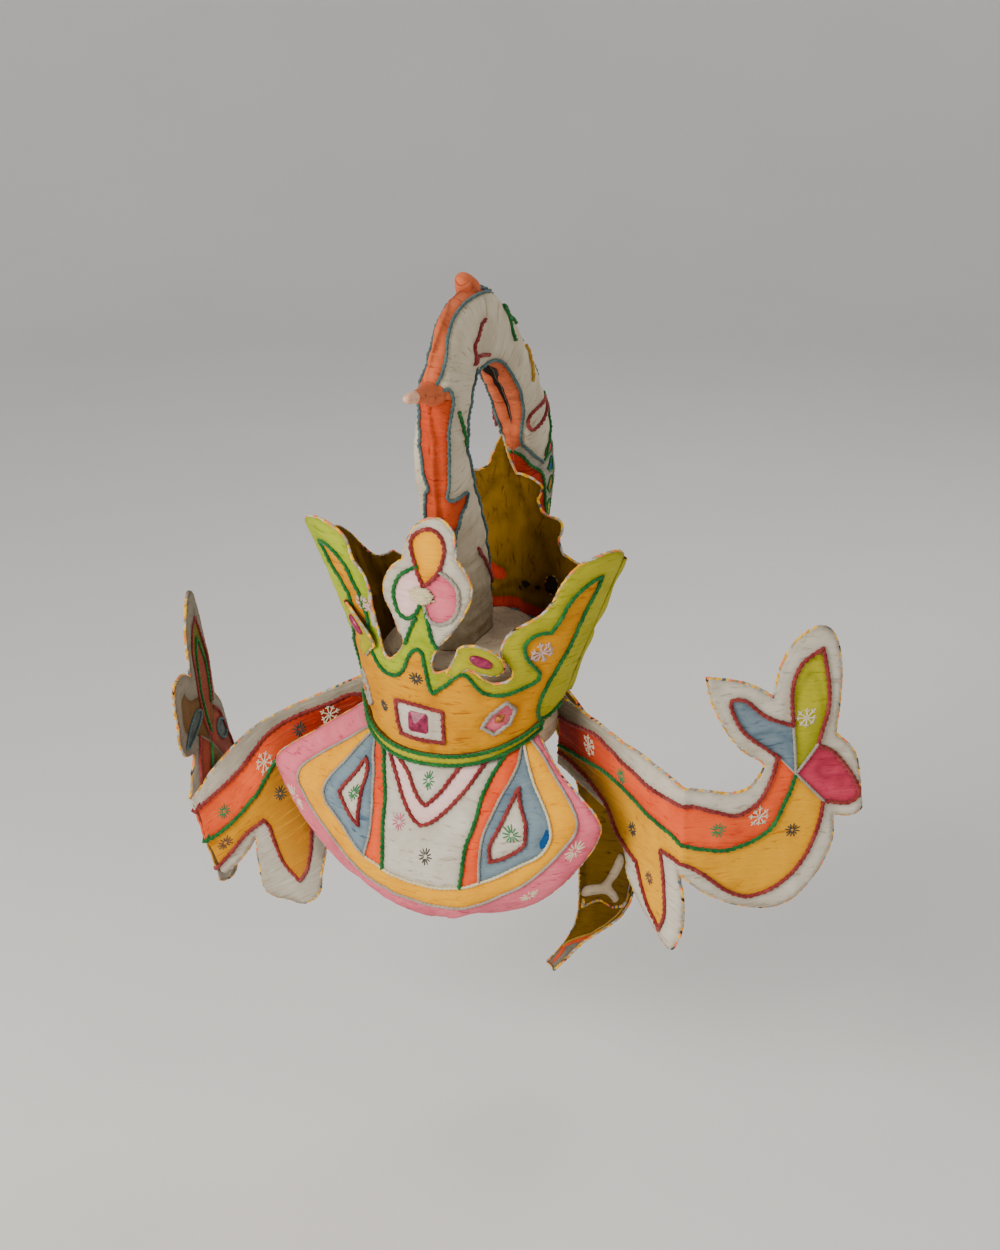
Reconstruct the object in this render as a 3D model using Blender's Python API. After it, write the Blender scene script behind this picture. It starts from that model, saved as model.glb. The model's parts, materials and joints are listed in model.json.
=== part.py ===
# Carnival headdress of cloth-covered card: a crown with a trefoil and wings, a padded arch,
# a bib under the brow, two fish-tail arms and a hanging rear tail.
# Metres, +Z up. The wearer's face looks along -Y, and +X is on the right of someone facing it.
# The origin is the middle of the head opening, level with the crown's lower edge at the brow.

import math

import bmesh
import bpy
from mathutils import Vector
from mathutils.geometry import delaunay_2d_cdt

# Card and clearances
CARD = 0.003
SEAT_GAP = 0.0003
OUTLINE_STEP = 0.009
GRID_STEP = 0.014

# Crown wall, an oval that widens at the sides as it rises
CROWN_HALF_WIDTH = 0.092
CROWN_HALF_DEPTH = 0.098
REAR_LEAN = 0.011
SEAM_TURN = math.radians(88)
SEAM_HALF_GAP = math.radians(0.12)
BOTTOM_RISE = 0.052
BOTTOM_POWER = 2.6
WING_TOP = 0.222
LEFT_SEAM_TOP = 0.179
RIGHT_SEAM_TOP = 0.205
TREFOIL_TOP = 0.253
TREFOIL_HALF_WIDTH = 0.0257
REAR_PEAK = 0.276
REAR_BOTTOM = 0.030

# Head cap under the crown
CAP_HEIGHT = 0.100
CAP_WALL = 0.0025
CAP_CLEARANCE = 0.0005
CAP_SEGMENTS = 40

# Brow band, leaves and stones
BROW_BAND_HEIGHT = 0.0115
BROW_BAND_TURN = math.radians(68)
BROW_BAND_LIFT = 0.0006
LEAF_LENGTH = 0.050
LEAF_WIDTH = 0.027
LEAF_CURL = 0.007
RUBY_SIDE = 0.021
RUBY_HEIGHT = 0.007
RUBY_TURN = math.radians(-3)
RUBY_LEVEL = 0.042
AMBER_SIDE = 0.009
AMBER_HEIGHT = 0.004
AMBER_TURNS = {"right": math.radians(40.8), "left": math.radians(-52)}
AMBER_LEVEL = 0.050
OVAL_LENGTH = 0.023
OVAL_WIDTH = 0.012
OVAL_HEIGHT = 0.004
STONE_TABLE_SHARE = 0.16
STONE_CORNER_SHARE = 0.22

# Bib
BIB_DROP = 0.163
BIB_HALF_WIDTH = 0.175
BIB_OUT = 0.118
BIB_TOP_TURN = math.radians(68)

# Arms, each a flat fish tail that is creased once
ARM_LENGTH = 0.183
ARM_ROOT_X = 0.111
ARM_ROOT_Y = 0.016
ARM_ROOT_Z = 0.034
TAIL_REACH = 0.173
TAIL_RISE = 0.147
FIN_DROP = 0.181

# Padded arch over the crown, in the middle plane
ARCH_TOP = 0.443
ARCH_REACH = 0.180
ARCH_WIDTH = 0.037
ARCH_STATIONS = 44
HORN_LENGTH = 0.054
HORN_RADIUS = 0.010
CREST_LENGTH = 0.017
CREST_RADIUS = 0.013
BARB_LENGTH = 0.012
BARB_RADIUS = 0.007

# Rear tail that hangs behind the head
REAR_TAIL_DROP = 0.330
REAR_TAIL_OUT = 0.150
REAR_TAIL_SIDE = 0.150
REAR_TAIL_BOW = 0.12
REAR_TAIL_BOW_WAY = (0.35, 0.94, 0.0)
FACING_SHARE = 0.64
FACING_THICK = 0.0018

# Upper edge of the crown front from its left seam, over the left wing, to the trefoil's neck.
# round is a share of the seam's turn, up is a share of the wing's top.
LEFT_WING_EDGE = [
    # round, up, corner
    (-0.885, 0.842, False),
    (-0.765, 0.903, False),
    (-0.677, 0.950, False),
    (-0.584, 0.990, False),
    (-0.507, 1.008, False),
    (-0.422, 1.004, False),
    (-0.353, 0.957, False),
    (-0.340, 0.872, False),
    (-0.308, 0.821, False),
    (-0.287, 0.760, False),
    (-0.289, 0.676, False),
    (-0.287, 0.561, False),
    (-0.267, 0.475, False),
    (-0.223, 0.449, False),
    (-0.162, 0.484, False),
]

# The trefoil, from its neck on the left, over its top, to its neck on the right.
# aside is a share of its half width, up is a share of its top.
TREFOIL_EDGE = [
    # aside, up, corner
    (-0.602, 0.482, False),
    (-0.750, 0.534, False),
    (-0.885, 0.593, False),
    (-1.025, 0.636, False),
    (-1.026, 0.683, False),
    (-0.879, 0.739, False),
    (-0.658, 0.786, False),
    (-0.423, 0.817, True),
    (-0.331, 0.875, False),
    (-0.190, 0.931, False),
    (0.012, 0.980, False),
    (0.234, 0.998, False),
    (0.447, 0.990, False),
    (0.615, 0.954, False),
    (0.688, 0.904, False),
    (0.728, 0.846, True),
    (0.900, 0.810, False),
    (1.092, 0.753, False),
    (1.136, 0.692, False),
    (0.997, 0.620, False),
    (0.779, 0.556, False),
    (0.477, 0.496, False),
]

# The upper edge from the trefoil's neck, past the leaf and over the right wing, to its seam.
RIGHT_WING_EDGE = [
    # round, up, corner
    (0.053, 0.515, False),
    (0.048, 0.453, False),
    (0.072, 0.432, False),
    (0.125, 0.448, False),
    (0.174, 0.470, False),
    (0.245, 0.460, False),
    (0.311, 0.428, False),
    (0.360, 0.400, False),
    (0.419, 0.392, False),
    (0.473, 0.405, False),
    (0.491, 0.436, False),
    (0.452, 0.480, False),
    (0.405, 0.524, False),
    (0.393, 0.582, False),
    (0.420, 0.642, False),
    (0.485, 0.682, False),
    (0.552, 0.724, False),
    (0.584, 0.780, False),
    (0.594, 0.840, False),
    (0.621, 0.908, False),
    (0.678, 0.960, False),
    (0.764, 0.982, False),
    (0.876, 0.980, False),
    (0.954, 0.950, False),
]

# Upper edge of the crown back from its left seam to its right one. round is a share of the
# seam's turn off the rear middle, up is a share of the rear peak.
REAR_EDGE = [
    # round, up, corner
    (-0.926, 0.655, False),
    (-0.843, 0.618, False),
    (-0.754, 0.530, False),
    (-0.679, 0.522, False),
    (-0.614, 0.532, True),
    (-0.575, 0.512, False),
    (-0.491, 0.497, False),
    (-0.384, 0.540, False),
    (-0.297, 0.640, False),
    (-0.235, 0.770, False),
    (-0.198, 0.860, False),
    (-0.170, 0.910, True),
    (-0.158, 0.862, False),
    (-0.091, 0.851, True),
    (-0.049, 0.880, False),
    (-0.027, 0.935, False),
    (0.000, 1.000, True),
    (0.023, 0.920, False),
    (0.048, 0.850, True),
    (0.110, 0.845, False),
    (0.160, 0.820, False),
    (0.148, 0.772, True),
    (0.175, 0.725, False),
    (0.245, 0.705, False),
    (0.280, 0.672, False),
    (0.268, 0.635, True),
    (0.323, 0.595, False),
    (0.464, 0.550, False),
    (0.581, 0.512, True),
    (0.641, 0.522, False),
    (0.720, 0.525, True),
    (0.775, 0.560, False),
    (0.846, 0.620, False),
    (0.933, 0.700, False),
]

# How far the wall stands out at the wings' top on each side, and how late it gets there.
SIDE_FLARES = {
    # side: spread at the wings' top, power of the rise
    "right": (0.0800, 1.25),
    "left": (0.0855, 1.70),
}

# How each leaf stands on the wall: its turn off the front, its height, and its tilt upwards.
LEAF_STANCES = {
    # side: turn, height, tilt
    "right": (math.radians(26.1), 0.1150, math.radians(-24)),
    "left": (math.radians(35.6), 0.1270, math.radians(44)),
}

# Head cap profile: share of the cap's half width and depth, and share of its height.
CAP_PROFILE = [
    # out, up
    (1.000, 0.00),
    (1.000, 0.28),
    (0.992, 0.46),
    (0.970, 0.64),
    (0.925, 0.81),
    (0.860, 0.92),
    (0.770, 0.98),
    (0.680, 1.00),
]

# Bib sections below its top edge. drop_mid and drop_side are shares of the bib's drop, wide is a
# share of its half width, out_mid and out_side are shares of its reach in front of the head.
BIB_SECTIONS = [
    # drop_mid, drop_side, wide, out_mid, out_side
    (0.16, 0.02, 0.740, 0.895, 0.560),
    (0.33, 0.21, 0.975, 0.950, 0.655),
    (0.52, 0.36, 0.975, 0.985, 0.620),
    (0.71, 0.60, 0.845, 1.000, 0.635),
    (0.84, 0.78, 0.700, 0.985, 0.640),
    (0.93, 0.89, 0.560, 0.950, 0.650),
    (1.00, 0.965, 0.370, 0.890, 0.660),
]

# Flat pattern of an arm. Points before the crease have along as a share of the arm's length,
# and points past it as a share of the tail's reach. up is a share of the tail's rise above the
# crease's top, and of the fin's drop below it.
ARM_PATTERN = [
    # along, up, corner
    (-1.000, -0.020, True),
    (-0.580, -0.022, False),
    (-0.140, -0.020, False),
    (0.120, -0.055, False),
    (0.250, -0.078, False),
    (0.360, -0.062, False),
    (0.425, 0.020, False),
    (0.435, 0.095, False),
    (0.310, 0.205, False),
    (0.210, 0.370, False),
    (0.130, 0.570, False),
    (0.105, 0.715, True),
    (0.290, 0.665, False),
    (0.400, 0.605, False),
    (0.475, 0.540, True),
    (0.505, 0.740, False),
    (0.570, 0.895, False),
    (0.660, 0.985, False),
    (0.730, 1.000, False),
    (0.790, 0.940, False),
    (0.830, 0.780, False),
    (0.838, 0.540, False),
    (0.828, 0.260, True),
    (0.920, 0.155, False),
    (0.965, 0.030, False),
    (1.000, -0.225, True),
    (0.950, -0.262, False),
    (0.845, -0.255, True),
    (0.838, -0.420, False),
    (0.757, -0.585, False),
    (0.635, -0.720, False),
    (0.500, -0.768, False),
    (0.320, -0.735, False),
    (0.150, -0.650, False),
    (-0.028, -0.505, True),
    (0.010, -0.640, False),
    (0.015, -0.840, False),
    (-0.045, -0.985, False),
    (-0.110, -1.000, False),
    (-0.245, -0.955, False),
    (-0.385, -0.855, False),
    (-0.480, -0.755, False),
    (-0.485, -0.670, False),
    (-0.590, -0.540, False),
    (-0.720, -0.475, False),
    (-1.000, -0.430, True),
]

# How each arm stands, as ribs across its pattern from its root to the end of its tail. Each rib
# runs through the level of the crease's top (mid), a level below it (low) and, for the tail's
# petals, a level above it (high). reach is where the rib crosses that level on the pattern, in
# the pattern's own shares. out, front and rise lead from the arm's root, as shares of its length,
# away from the head, towards the face's side and up. fold tells a sharp crease from a soft bend.
ARM_RIBS = {
    "right": {
        # reach, out, front, rise, fold
        "high": [
            (0.00, 0.82, 0.56, 0.52, True),
            (1.00, 1.60, 0.02, 0.52, False),
        ],
        "mid": [
            (-1.00, 0.00, 0.00, 0.00, False),
            (0.00, 0.82, 0.56, -0.05, True),
            (1.00, 1.60, 0.02, -0.05, False),
        ],
        "low": [
            (-1.00, 0.00, 0.00, -0.66, False),
            (0.00, 0.82, 0.56, -0.71, True),
            (1.00, 1.60, 0.02, -0.71, False),
        ],
    },
    "left": {
        # reach, out, front, rise, fold
        "high": [
            (0.10, 0.78, 0.85, 0.08, False),
            (0.61, 0.94, 0.38, 0.14, False),
            (1.00, 1.04, 0.02, 0.11, False),
        ],
        "mid": [
            (-1.00, 0.00, 0.00, 0.00, False),
            (-0.38, 0.53, 0.32, -0.27, False),
            (-0.03, 0.72, 0.57, -0.47, False),
            (0.35, 0.82, 0.72, -0.59, True),
            (0.61, 0.76, 0.54, -0.38, False),
            (1.00, 0.85, 0.18, -0.43, False),
        ],
        "low": [
            (-1.00, 0.00, 0.00, -0.66, False),
            (-0.38, 0.20, 0.44, -0.86, False),
            (-0.03, 0.48, 0.42, -1.10, False),
            (0.14, 0.75, 0.52, -1.26, True),
            (0.61, 0.68, 0.46, -1.07, False),
            (1.00, 0.79, 0.10, -1.19, False),
        ],
    },
}
ARM_RIB_DROP = 0.120
ARM_RIB_RISE = 0.104

# Arch stations between its foot on the cap and its rear foot. back is a share of the arch's
# reach behind the middle, up is a share of its top, deep is its depth as a share of the foot's
# depth, and wide is a share of its width.
ARCH_FOOT_DEPTH = 0.080
ARCH_FOOT_BACK = -0.015
ARCH_HEEL_UP = 0.062
ARCH_HEEL_DEPTH = 0.028
ARCH_FOOT_SHARE = 0.06
ARCH_SECTIONS = [
    # back, up, deep, wide
    (-0.092, 0.310, 1.00, 1.10),
    (-0.112, 0.415, 0.96, 1.02),
    (-0.178, 0.510, 0.80, 1.00),
    (-0.262, 0.600, 0.70, 1.00),
    (-0.308, 0.690, 0.63, 1.00),
    (-0.285, 0.775, 0.67, 1.00),
    (-0.240, 0.850, 0.84, 1.00),
    (-0.125, 0.910, 1.02, 1.00),
    (0.110, 0.912, 0.93, 1.00),
    (0.330, 0.868, 0.76, 1.00),
    (0.520, 0.800, 0.72, 1.00),
    (0.670, 0.722, 0.74, 1.00),
    (0.780, 0.640, 0.84, 1.00),
    (0.845, 0.560, 0.96, 0.96),
    (0.865, 0.480, 0.92, 0.92),
    (0.825, 0.375, 0.74, 0.86),
    (0.740, 0.255, 0.52, 0.80),
]

# How much of its half width the arch has on the left at each station, where the cloth slumps.
ARCH_LEFT_SHARES = [
    # foot to crest
    1.00, 1.00, 1.06, 1.12, 1.16, 1.14, 0.96, 0.62, 0.44, 0.58,
    # crest to heel
    0.84, 1.00, 1.00, 1.00, 1.00, 1.00, 1.00, 1.00, 1.00,
]

# Arch cross-section: across is a share of half its width, out is a share of half its depth,
# from the inner face round to the ridge on the outer face.
ARCH_LOOP = [
    # across, out
    (0.60, -1.00),
    (0.96, -0.82),
    (1.00, -0.30),
    (1.00, 0.25),
    (0.90, 0.66),
    (0.52, 0.88),
    (0.00, 1.00),
]

# Spikes on the arch's ridge. share is how far along the arch each stands, blunt is its tip's
# share of its radius, and lean is how far it tips towards the front foot.
SPIKES = [
    # name, share, length, radius, blunt, lean
    ("horn", 0.360, HORN_LENGTH, HORN_RADIUS, 0.30, 0.00),
    ("crest", 0.480, CREST_LENGTH, CREST_RADIUS, 0.60, 0.90),
    ("barb", 0.690, BARB_LENGTH, BARB_RADIUS, 0.15, 0.00),
]

# Rear tail rails: side is a share of the tail's side reach, back of its reach behind the head,
# down of its drop, for the edge near the middle and the edge away from it.
REAR_TAIL_RAILS = [
    # near side, near back, near down, far side, far back, far down
    (0.290, 0.820, 0.140, 0.780, 0.740, 0.105),
    (0.440, 0.960, 0.420, 0.900, 0.850, 0.380),
    (0.430, 0.987, 0.680, 0.890, 0.900, 0.640),
    (0.425, 0.987, 0.842, 0.800, 0.900, 0.800),
    (0.371, 0.933, 0.935, 0.520, 0.850, 0.925),
    (0.262, 0.800, 1.010, 0.320, 0.787, 1.030),
]
REAR_TAIL_NEAR_TURN = math.radians(166)
REAR_TAIL_FAR_TURN = math.radians(127)

COLOURS = {
    # name: red, green, blue, roughness
    "cap_cloth": (0.42, 0.39, 0.35, 0.9),
    "ochre_card": (0.80, 0.47, 0.06, 0.8),
    "olive_card": (0.38, 0.27, 0.03, 0.85),
    "green_card": (0.42, 0.52, 0.08, 0.8),
    "rose_card": (0.78, 0.40, 0.45, 0.8),
    "coral_card": (0.83, 0.26, 0.15, 0.8),
    "white_cloth": (0.62, 0.59, 0.53, 0.9),
    "ruby": (0.42, 0.02, 0.13, 0.25),
    "amber": (0.78, 0.30, 0.03, 0.25),
}


def clear_scene():
    """Empties the scene of whatever it starts with."""
    for obj in list(bpy.data.objects):
        bpy.data.objects.remove(obj)


def material(name):
    """A plain finish in one of the object's colours."""
    found = bpy.data.materials.get(name)
    if found:
        return found
    red, green, blue, roughness = COLOURS[name]
    made = bpy.data.materials.new(name)
    made.use_nodes = True
    shader = made.node_tree.nodes["Principled BSDF"]
    shader.inputs["Base Color"].default_value = (red, green, blue, 1)
    shader.inputs["Roughness"].default_value = roughness
    shader.inputs["Metallic"].default_value = 0.0
    made.diffuse_color = (red, green, blue, 1)
    return made


def add_object(name, points, faces, finish):
    """A mesh object with its faces turned outwards."""
    mesh = bpy.data.meshes.new(name)
    mesh.from_pydata([tuple(p) for p in points], [], faces)
    build = bmesh.new()
    build.from_mesh(mesh)
    bmesh.ops.recalc_face_normals(build, faces=build.faces)
    build.to_mesh(mesh)
    build.free()
    mesh.shade_smooth()
    mesh.set_sharp_from_angle(angle=math.radians(35))
    obj = bpy.data.objects.new(name, mesh)
    bpy.context.scene.collection.objects.link(obj)
    mesh.materials.append(material(finish))
    return obj


def soft_line(rows, step, closed):
    """Points on a smooth line through the rows, which turns sharply only at corners."""
    count = len(rows)
    spots = [Vector(row[:2]) for row in rows]
    corners = [row[2] for row in rows]
    points = []
    for i in range(count if closed else count - 1):
        start, end = spots[i], spots[(i + 1) % count]
        chord = end - start
        leave = chord if corners[i] else (end - spots[i - 1]) / 2
        ahead = spots[(i + 2) % count]
        arrive = chord if corners[(i + 1) % count] else (ahead - start) / 2
        if not closed and i == 0:
            leave = chord
        if not closed and i == count - 2:
            arrive = chord
        steps = max(1, round(chord.length / step))
        for k in range(steps):
            t = k / steps
            points.append(
                start * (2 * t**3 - 3 * t**2 + 1)
                + leave * (t**3 - 2 * t**2 + t)
                + end * (3 * t**2 - 2 * t**3)
                + arrive * (t**3 - t**2)
            )
    if not closed:
        points.append(spots[-1])
    return points


def inside(spot, outline):
    """Whether a flat point lies within a closed outline."""
    hit = False
    for a, b in zip(outline, outline[1:] + outline[:1]):
        if (a.y > spot.y) != (b.y > spot.y):
            if spot.x < a.x + (spot.y - a.y) / (b.y - a.y) * (b.x - a.x):
                hit = not hit
    return hit


def near_edge(spot, outline, margin):
    """Whether a flat point lies closer to an outline than the margin."""
    for a, b in zip(outline, outline[1:] + outline[:1]):
        run = b - a
        t = max(0.0, min(1.0, (spot - a).dot(run) / max(run.length_squared, 1e-12)))
        if (spot - a - run * t).length < margin:
            return True
    return False


def fill(outline, grid_x=0.0):
    """Triangles over a flat outline, with a grid of points inside that has a column at grid_x."""
    low_x, high_x = min(p.x for p in outline), max(p.x for p in outline)
    low_y, high_y = min(p.y for p in outline), max(p.y for p in outline)
    spots = list(outline)
    first = math.ceil((low_x - grid_x) / GRID_STEP)
    last = math.floor((high_x - grid_x) / GRID_STEP)
    for column in range(first, last + 1):
        for row in range(int((high_y - low_y) / GRID_STEP) + 1):
            spot = Vector((grid_x + column * GRID_STEP, low_y + row * GRID_STEP))
            if inside(spot, outline) and not near_edge(spot, outline, GRID_STEP * 0.45):
                spots.append(spot)
    ring = [(i, (i + 1) % len(outline)) for i in range(len(outline))]
    found = delaunay_2d_cdt(spots, ring, [], 1, 1e-7)
    return found[0], found[2]


def lifted(surface, x, y, lift):
    """A point of a surface, moved off it at right angles."""
    nudge = 2e-4
    along = surface(x + nudge, y) - surface(x - nudge, y)
    up = surface(x, y + nudge) - surface(x, y - nudge)
    return surface(x, y) + along.cross(up).normalized() * lift


def card(name, outline, surface, finish, thick=CARD, grid_x=0.0):
    """A sheet of card: a flat outline laid on a curved surface and given its thickness."""
    spots, triangles = fill(outline, grid_x)
    front = [lifted(surface, spot.x, spot.y, thick / 2) for spot in spots]
    back = [lifted(surface, spot.x, spot.y, -thick / 2) for spot in spots]
    shift = len(spots)
    faces = [tuple(t) for t in triangles]
    faces += [tuple(shift + i for i in reversed(t)) for t in triangles]
    edges = {}
    for t in triangles:
        for a, b in zip(t, list(t[1:]) + [t[0]]):
            edges[(a, b)] = True
    for a, b in edges:
        if (b, a) not in edges:
            faces.append((b, a, shift + a, shift + b))
    return add_object(name, front + back, faces, finish)


def crown_half_width(turn, height):
    """Half width of the crown's oval at a height: it flares most near the top, more on the left."""
    spread, power = SIDE_FLARES["right" if math.sin(turn) >= 0 else "left"]
    return CROWN_HALF_WIDTH + spread * (max(0.0, height) / WING_TOP) ** power


def crown_depth(turn, height):
    """Half depth of the crown's oval at a height: the rear leans in a little as it rises."""
    lean = REAR_LEAN * (height / REAR_PEAK) ** 2 if math.cos(turn) < 0 else 0.0
    return CROWN_HALF_DEPTH - lean * abs(math.cos(turn))


def crown_point(turn, height, out=0.0):
    """A point of the crown's wall. turn runs from the front towards +X, out is off its middle."""
    wide = crown_half_width(turn, height) + out
    deep = crown_depth(turn, height) + out
    return Vector((wide * math.sin(turn), -deep * math.cos(turn), height))


def crown_sheet(around, height):
    """The crown's wall over a flat pattern whose first measure is arc length at the brow."""
    return crown_point(around / CROWN_HALF_WIDTH, height)


def bottom_edge(turn):
    """Height of the crown's lower edge, which rises towards the ears."""
    return BOTTOM_RISE * (abs(turn) / SEAM_TURN) ** BOTTOM_POWER


def lower_edge(first_turn, last_turn, lift):
    """Points along the crown's lower edge, from one turn to another."""
    steps = max(2, round(abs(last_turn - first_turn) * CROWN_HALF_WIDTH / OUTLINE_STEP))
    turns = [first_turn + (last_turn - first_turn) * k / steps for k in range(steps + 1)]
    return [Vector((t * CROWN_HALF_WIDTH, bottom_edge(t) + lift)) for t in turns]


def wall_rows(rows, half_width, top):
    """Rows of an edge table at their real size on the crown's flat pattern."""
    return [(x * half_width, y * top, corner) for x, y, corner in rows]


def make_crown_front():
    """The front wall with its wings and its trefoil, cut from one sheet."""
    seam = SEAM_TURN - SEAM_HALF_GAP
    reach = seam * CROWN_HALF_WIDTH
    rows = [(-reach, LEFT_SEAM_TOP, True)]
    rows += wall_rows(LEFT_WING_EDGE, reach, WING_TOP)
    rows += wall_rows(TREFOIL_EDGE, TREFOIL_HALF_WIDTH, TREFOIL_TOP)
    rows += wall_rows(RIGHT_WING_EDGE, reach, WING_TOP)
    rows.append((reach, RIGHT_SEAM_TOP, True))
    top = soft_line(rows, OUTLINE_STEP, False)
    outline = top + lower_edge(seam, -seam, 0.0)
    card("crown_front", outline, crown_sheet, "ochre_card")


def rear_bottom(turn):
    """Height of the crown back's lower edge, from its middle to the ears."""
    share = (abs(turn) / SEAM_TURN) ** 2
    return REAR_BOTTOM + (BOTTOM_RISE - REAR_BOTTOM) * share


def make_crown_back():
    """The tall jagged wall behind the head, which meets the front at the wings."""
    seam = math.pi - SEAM_TURN - SEAM_HALF_GAP
    reach = seam * CROWN_HALF_WIDTH
    rows = [(-reach, LEFT_SEAM_TOP, True)]
    rows += wall_rows(REAR_EDGE, SEAM_TURN * CROWN_HALF_WIDTH, REAR_PEAK)
    rows.append((reach, RIGHT_SEAM_TOP, True))
    top = soft_line(rows, OUTLINE_STEP, False)
    steps = round(2 * reach / OUTLINE_STEP)
    turns = [seam - 2 * seam * k / steps for k in range(steps + 1)]
    outline = top + [Vector((t * CROWN_HALF_WIDTH, rear_bottom(t))) for t in turns]
    card(
        "crown_back",
        outline,
        lambda around, height: crown_point(math.pi - around / CROWN_HALF_WIDTH, height),
        "olive_card",
    )


def cap_half_size():
    """Half width and half depth of the head cap, which fits inside the crown."""
    inset = CARD / 2 + CAP_CLEARANCE
    return CROWN_HALF_WIDTH - inset, CROWN_HALF_DEPTH - inset


def make_head_cap():
    """The cloth cap that the head goes into, open below and nearly flat on top."""
    wide, deep = cap_half_size()
    points, faces = [], []
    for inner in (False, True):
        inset = CAP_WALL if inner else 0.0
        for out, up in CAP_PROFILE:
            height = up * (CAP_HEIGHT - inset)
            for k in range(CAP_SEGMENTS):
                turn = 2 * math.pi * k / CAP_SEGMENTS
                x = (wide - inset) * out * math.sin(turn)
                y = -(deep - inset) * out * math.cos(turn)
                points.append(Vector((x, y, height)))
    rings = len(CAP_PROFILE)
    for layer in range(2):
        for ring in range(rings - 1):
            low = (layer * rings + ring) * CAP_SEGMENTS
            for k in range(CAP_SEGMENTS):
                after = (k + 1) % CAP_SEGMENTS
                faces.append(
                    (low + k, low + after, low + CAP_SEGMENTS + after, low + CAP_SEGMENTS + k)
                )
        last = (layer * rings + rings - 1) * CAP_SEGMENTS
        faces.append(tuple(last + k for k in range(CAP_SEGMENTS)))
    under = rings * CAP_SEGMENTS
    for k in range(CAP_SEGMENTS):
        after = (k + 1) % CAP_SEGMENTS
        faces.append((k, after, under + after, under + k))
    add_object("head_cap", points, faces, "cap_cloth")


def make_brow_band():
    """The green strip that binds the crown's lower edge over the brow."""
    lift = CARD / 2 + SEAT_GAP * 2 + CARD / 2
    low = lower_edge(BROW_BAND_TURN, -BROW_BAND_TURN, BROW_BAND_LIFT)
    high = lower_edge(-BROW_BAND_TURN, BROW_BAND_TURN, BROW_BAND_LIFT + BROW_BAND_HEIGHT)
    card(
        "brow_band",
        high + low,
        lambda around, height: crown_point(around / CROWN_HALF_WIDTH, height, lift),
        "green_card",
    )


LEAF_EDGE = [
    # along, across, corner
    (-0.50, 0.05, False),
    (-0.34, 0.38, False),
    (-0.06, 0.50, False),
    (0.24, 0.40, False),
    (0.44, 0.16, False),
    (0.50, -0.12, False),
    (0.40, -0.34, False),
    (0.14, -0.46, False),
    (-0.14, -0.52, False),
    (-0.22, -1.05, True),
    (-0.42, -1.00, True),
    (-0.46, -0.30, False),
]


def leaf_frame(side, out):
    """Maps a leaf's own length and width to the crown's wall, lifted off it as the leaf curls."""
    middle_turn, height, tilt = LEAF_STANCES[side]
    sign = 1 if side == "right" else -1
    seat = CARD + SEAT_GAP + out

    def place(along, across):
        around = along * math.cos(tilt) - across * math.sin(tilt)
        rise = along * math.sin(tilt) + across * math.cos(tilt)
        share = max(0.0, (across + LEAF_WIDTH / 2) / LEAF_WIDTH)
        wide = crown_half_width(sign * middle_turn, height + rise)
        turn = middle_turn + around / wide
        return crown_point(sign * turn, height + rise, seat + LEAF_CURL * share**2)

    return place


def make_leaves():
    """A small leaf on each side of the trefoil, curling off the wall, with an oval stone."""
    for side in ("right", "left"):
        rows = [(a * LEAF_LENGTH, b * LEAF_WIDTH, c) for a, b, c in LEAF_EDGE]
        outline = soft_line(rows, OUTLINE_STEP * 0.6, True)
        card("leaf_" + side, outline, leaf_frame(side, 0.0), "green_card")
        sign = 1 if side == "right" else -1
        make_oval_stone("oval_ruby_" + side, leaf_frame(side, CARD / 2 + SEAT_GAP * 2), sign)


def make_oval_stone(name, place, side):
    """A smooth oval stone on a leaf: a flat base and two rings that close to a small crown."""
    rings = [(1.0, 0.0), (0.86, 0.55), (0.45, 0.92)]
    sides = 14
    middle = place(0.0, 0.0)
    along = (place(1e-3, 0.0) - place(-1e-3, 0.0)).normalized()
    across = (place(0.0, 1e-3) - place(0.0, -1e-3)).normalized()
    normal = along.cross(across).normalized() * side
    turns = [2 * math.pi * k / sides for k in range(sides)]
    rim = [
        place(math.cos(turn) * OVAL_LENGTH / 2, math.sin(turn) * OVAL_WIDTH / 2) for turn in turns
    ]
    seat = max((spot - middle).dot(normal) for spot in rim)
    points, faces = [], []
    for share, up in rings:
        for turn in turns:
            spot = middle + normal * (seat + up * OVAL_HEIGHT)
            spot += along * (math.cos(turn) * share * OVAL_LENGTH / 2)
            spot += across * (math.sin(turn) * share * OVAL_WIDTH / 2)
            points.append(spot)
    for ring in range(len(rings) - 1):
        low = ring * sides
        for k in range(sides):
            after = (k + 1) % sides
            faces.append((low + k, low + after, low + sides + after, low + sides + k))
    faces.append(tuple(range(sides)))
    faces.append(tuple((len(rings) - 1) * sides + k for k in range(sides)))
    add_object(name, points, faces, "ruby")


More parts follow.
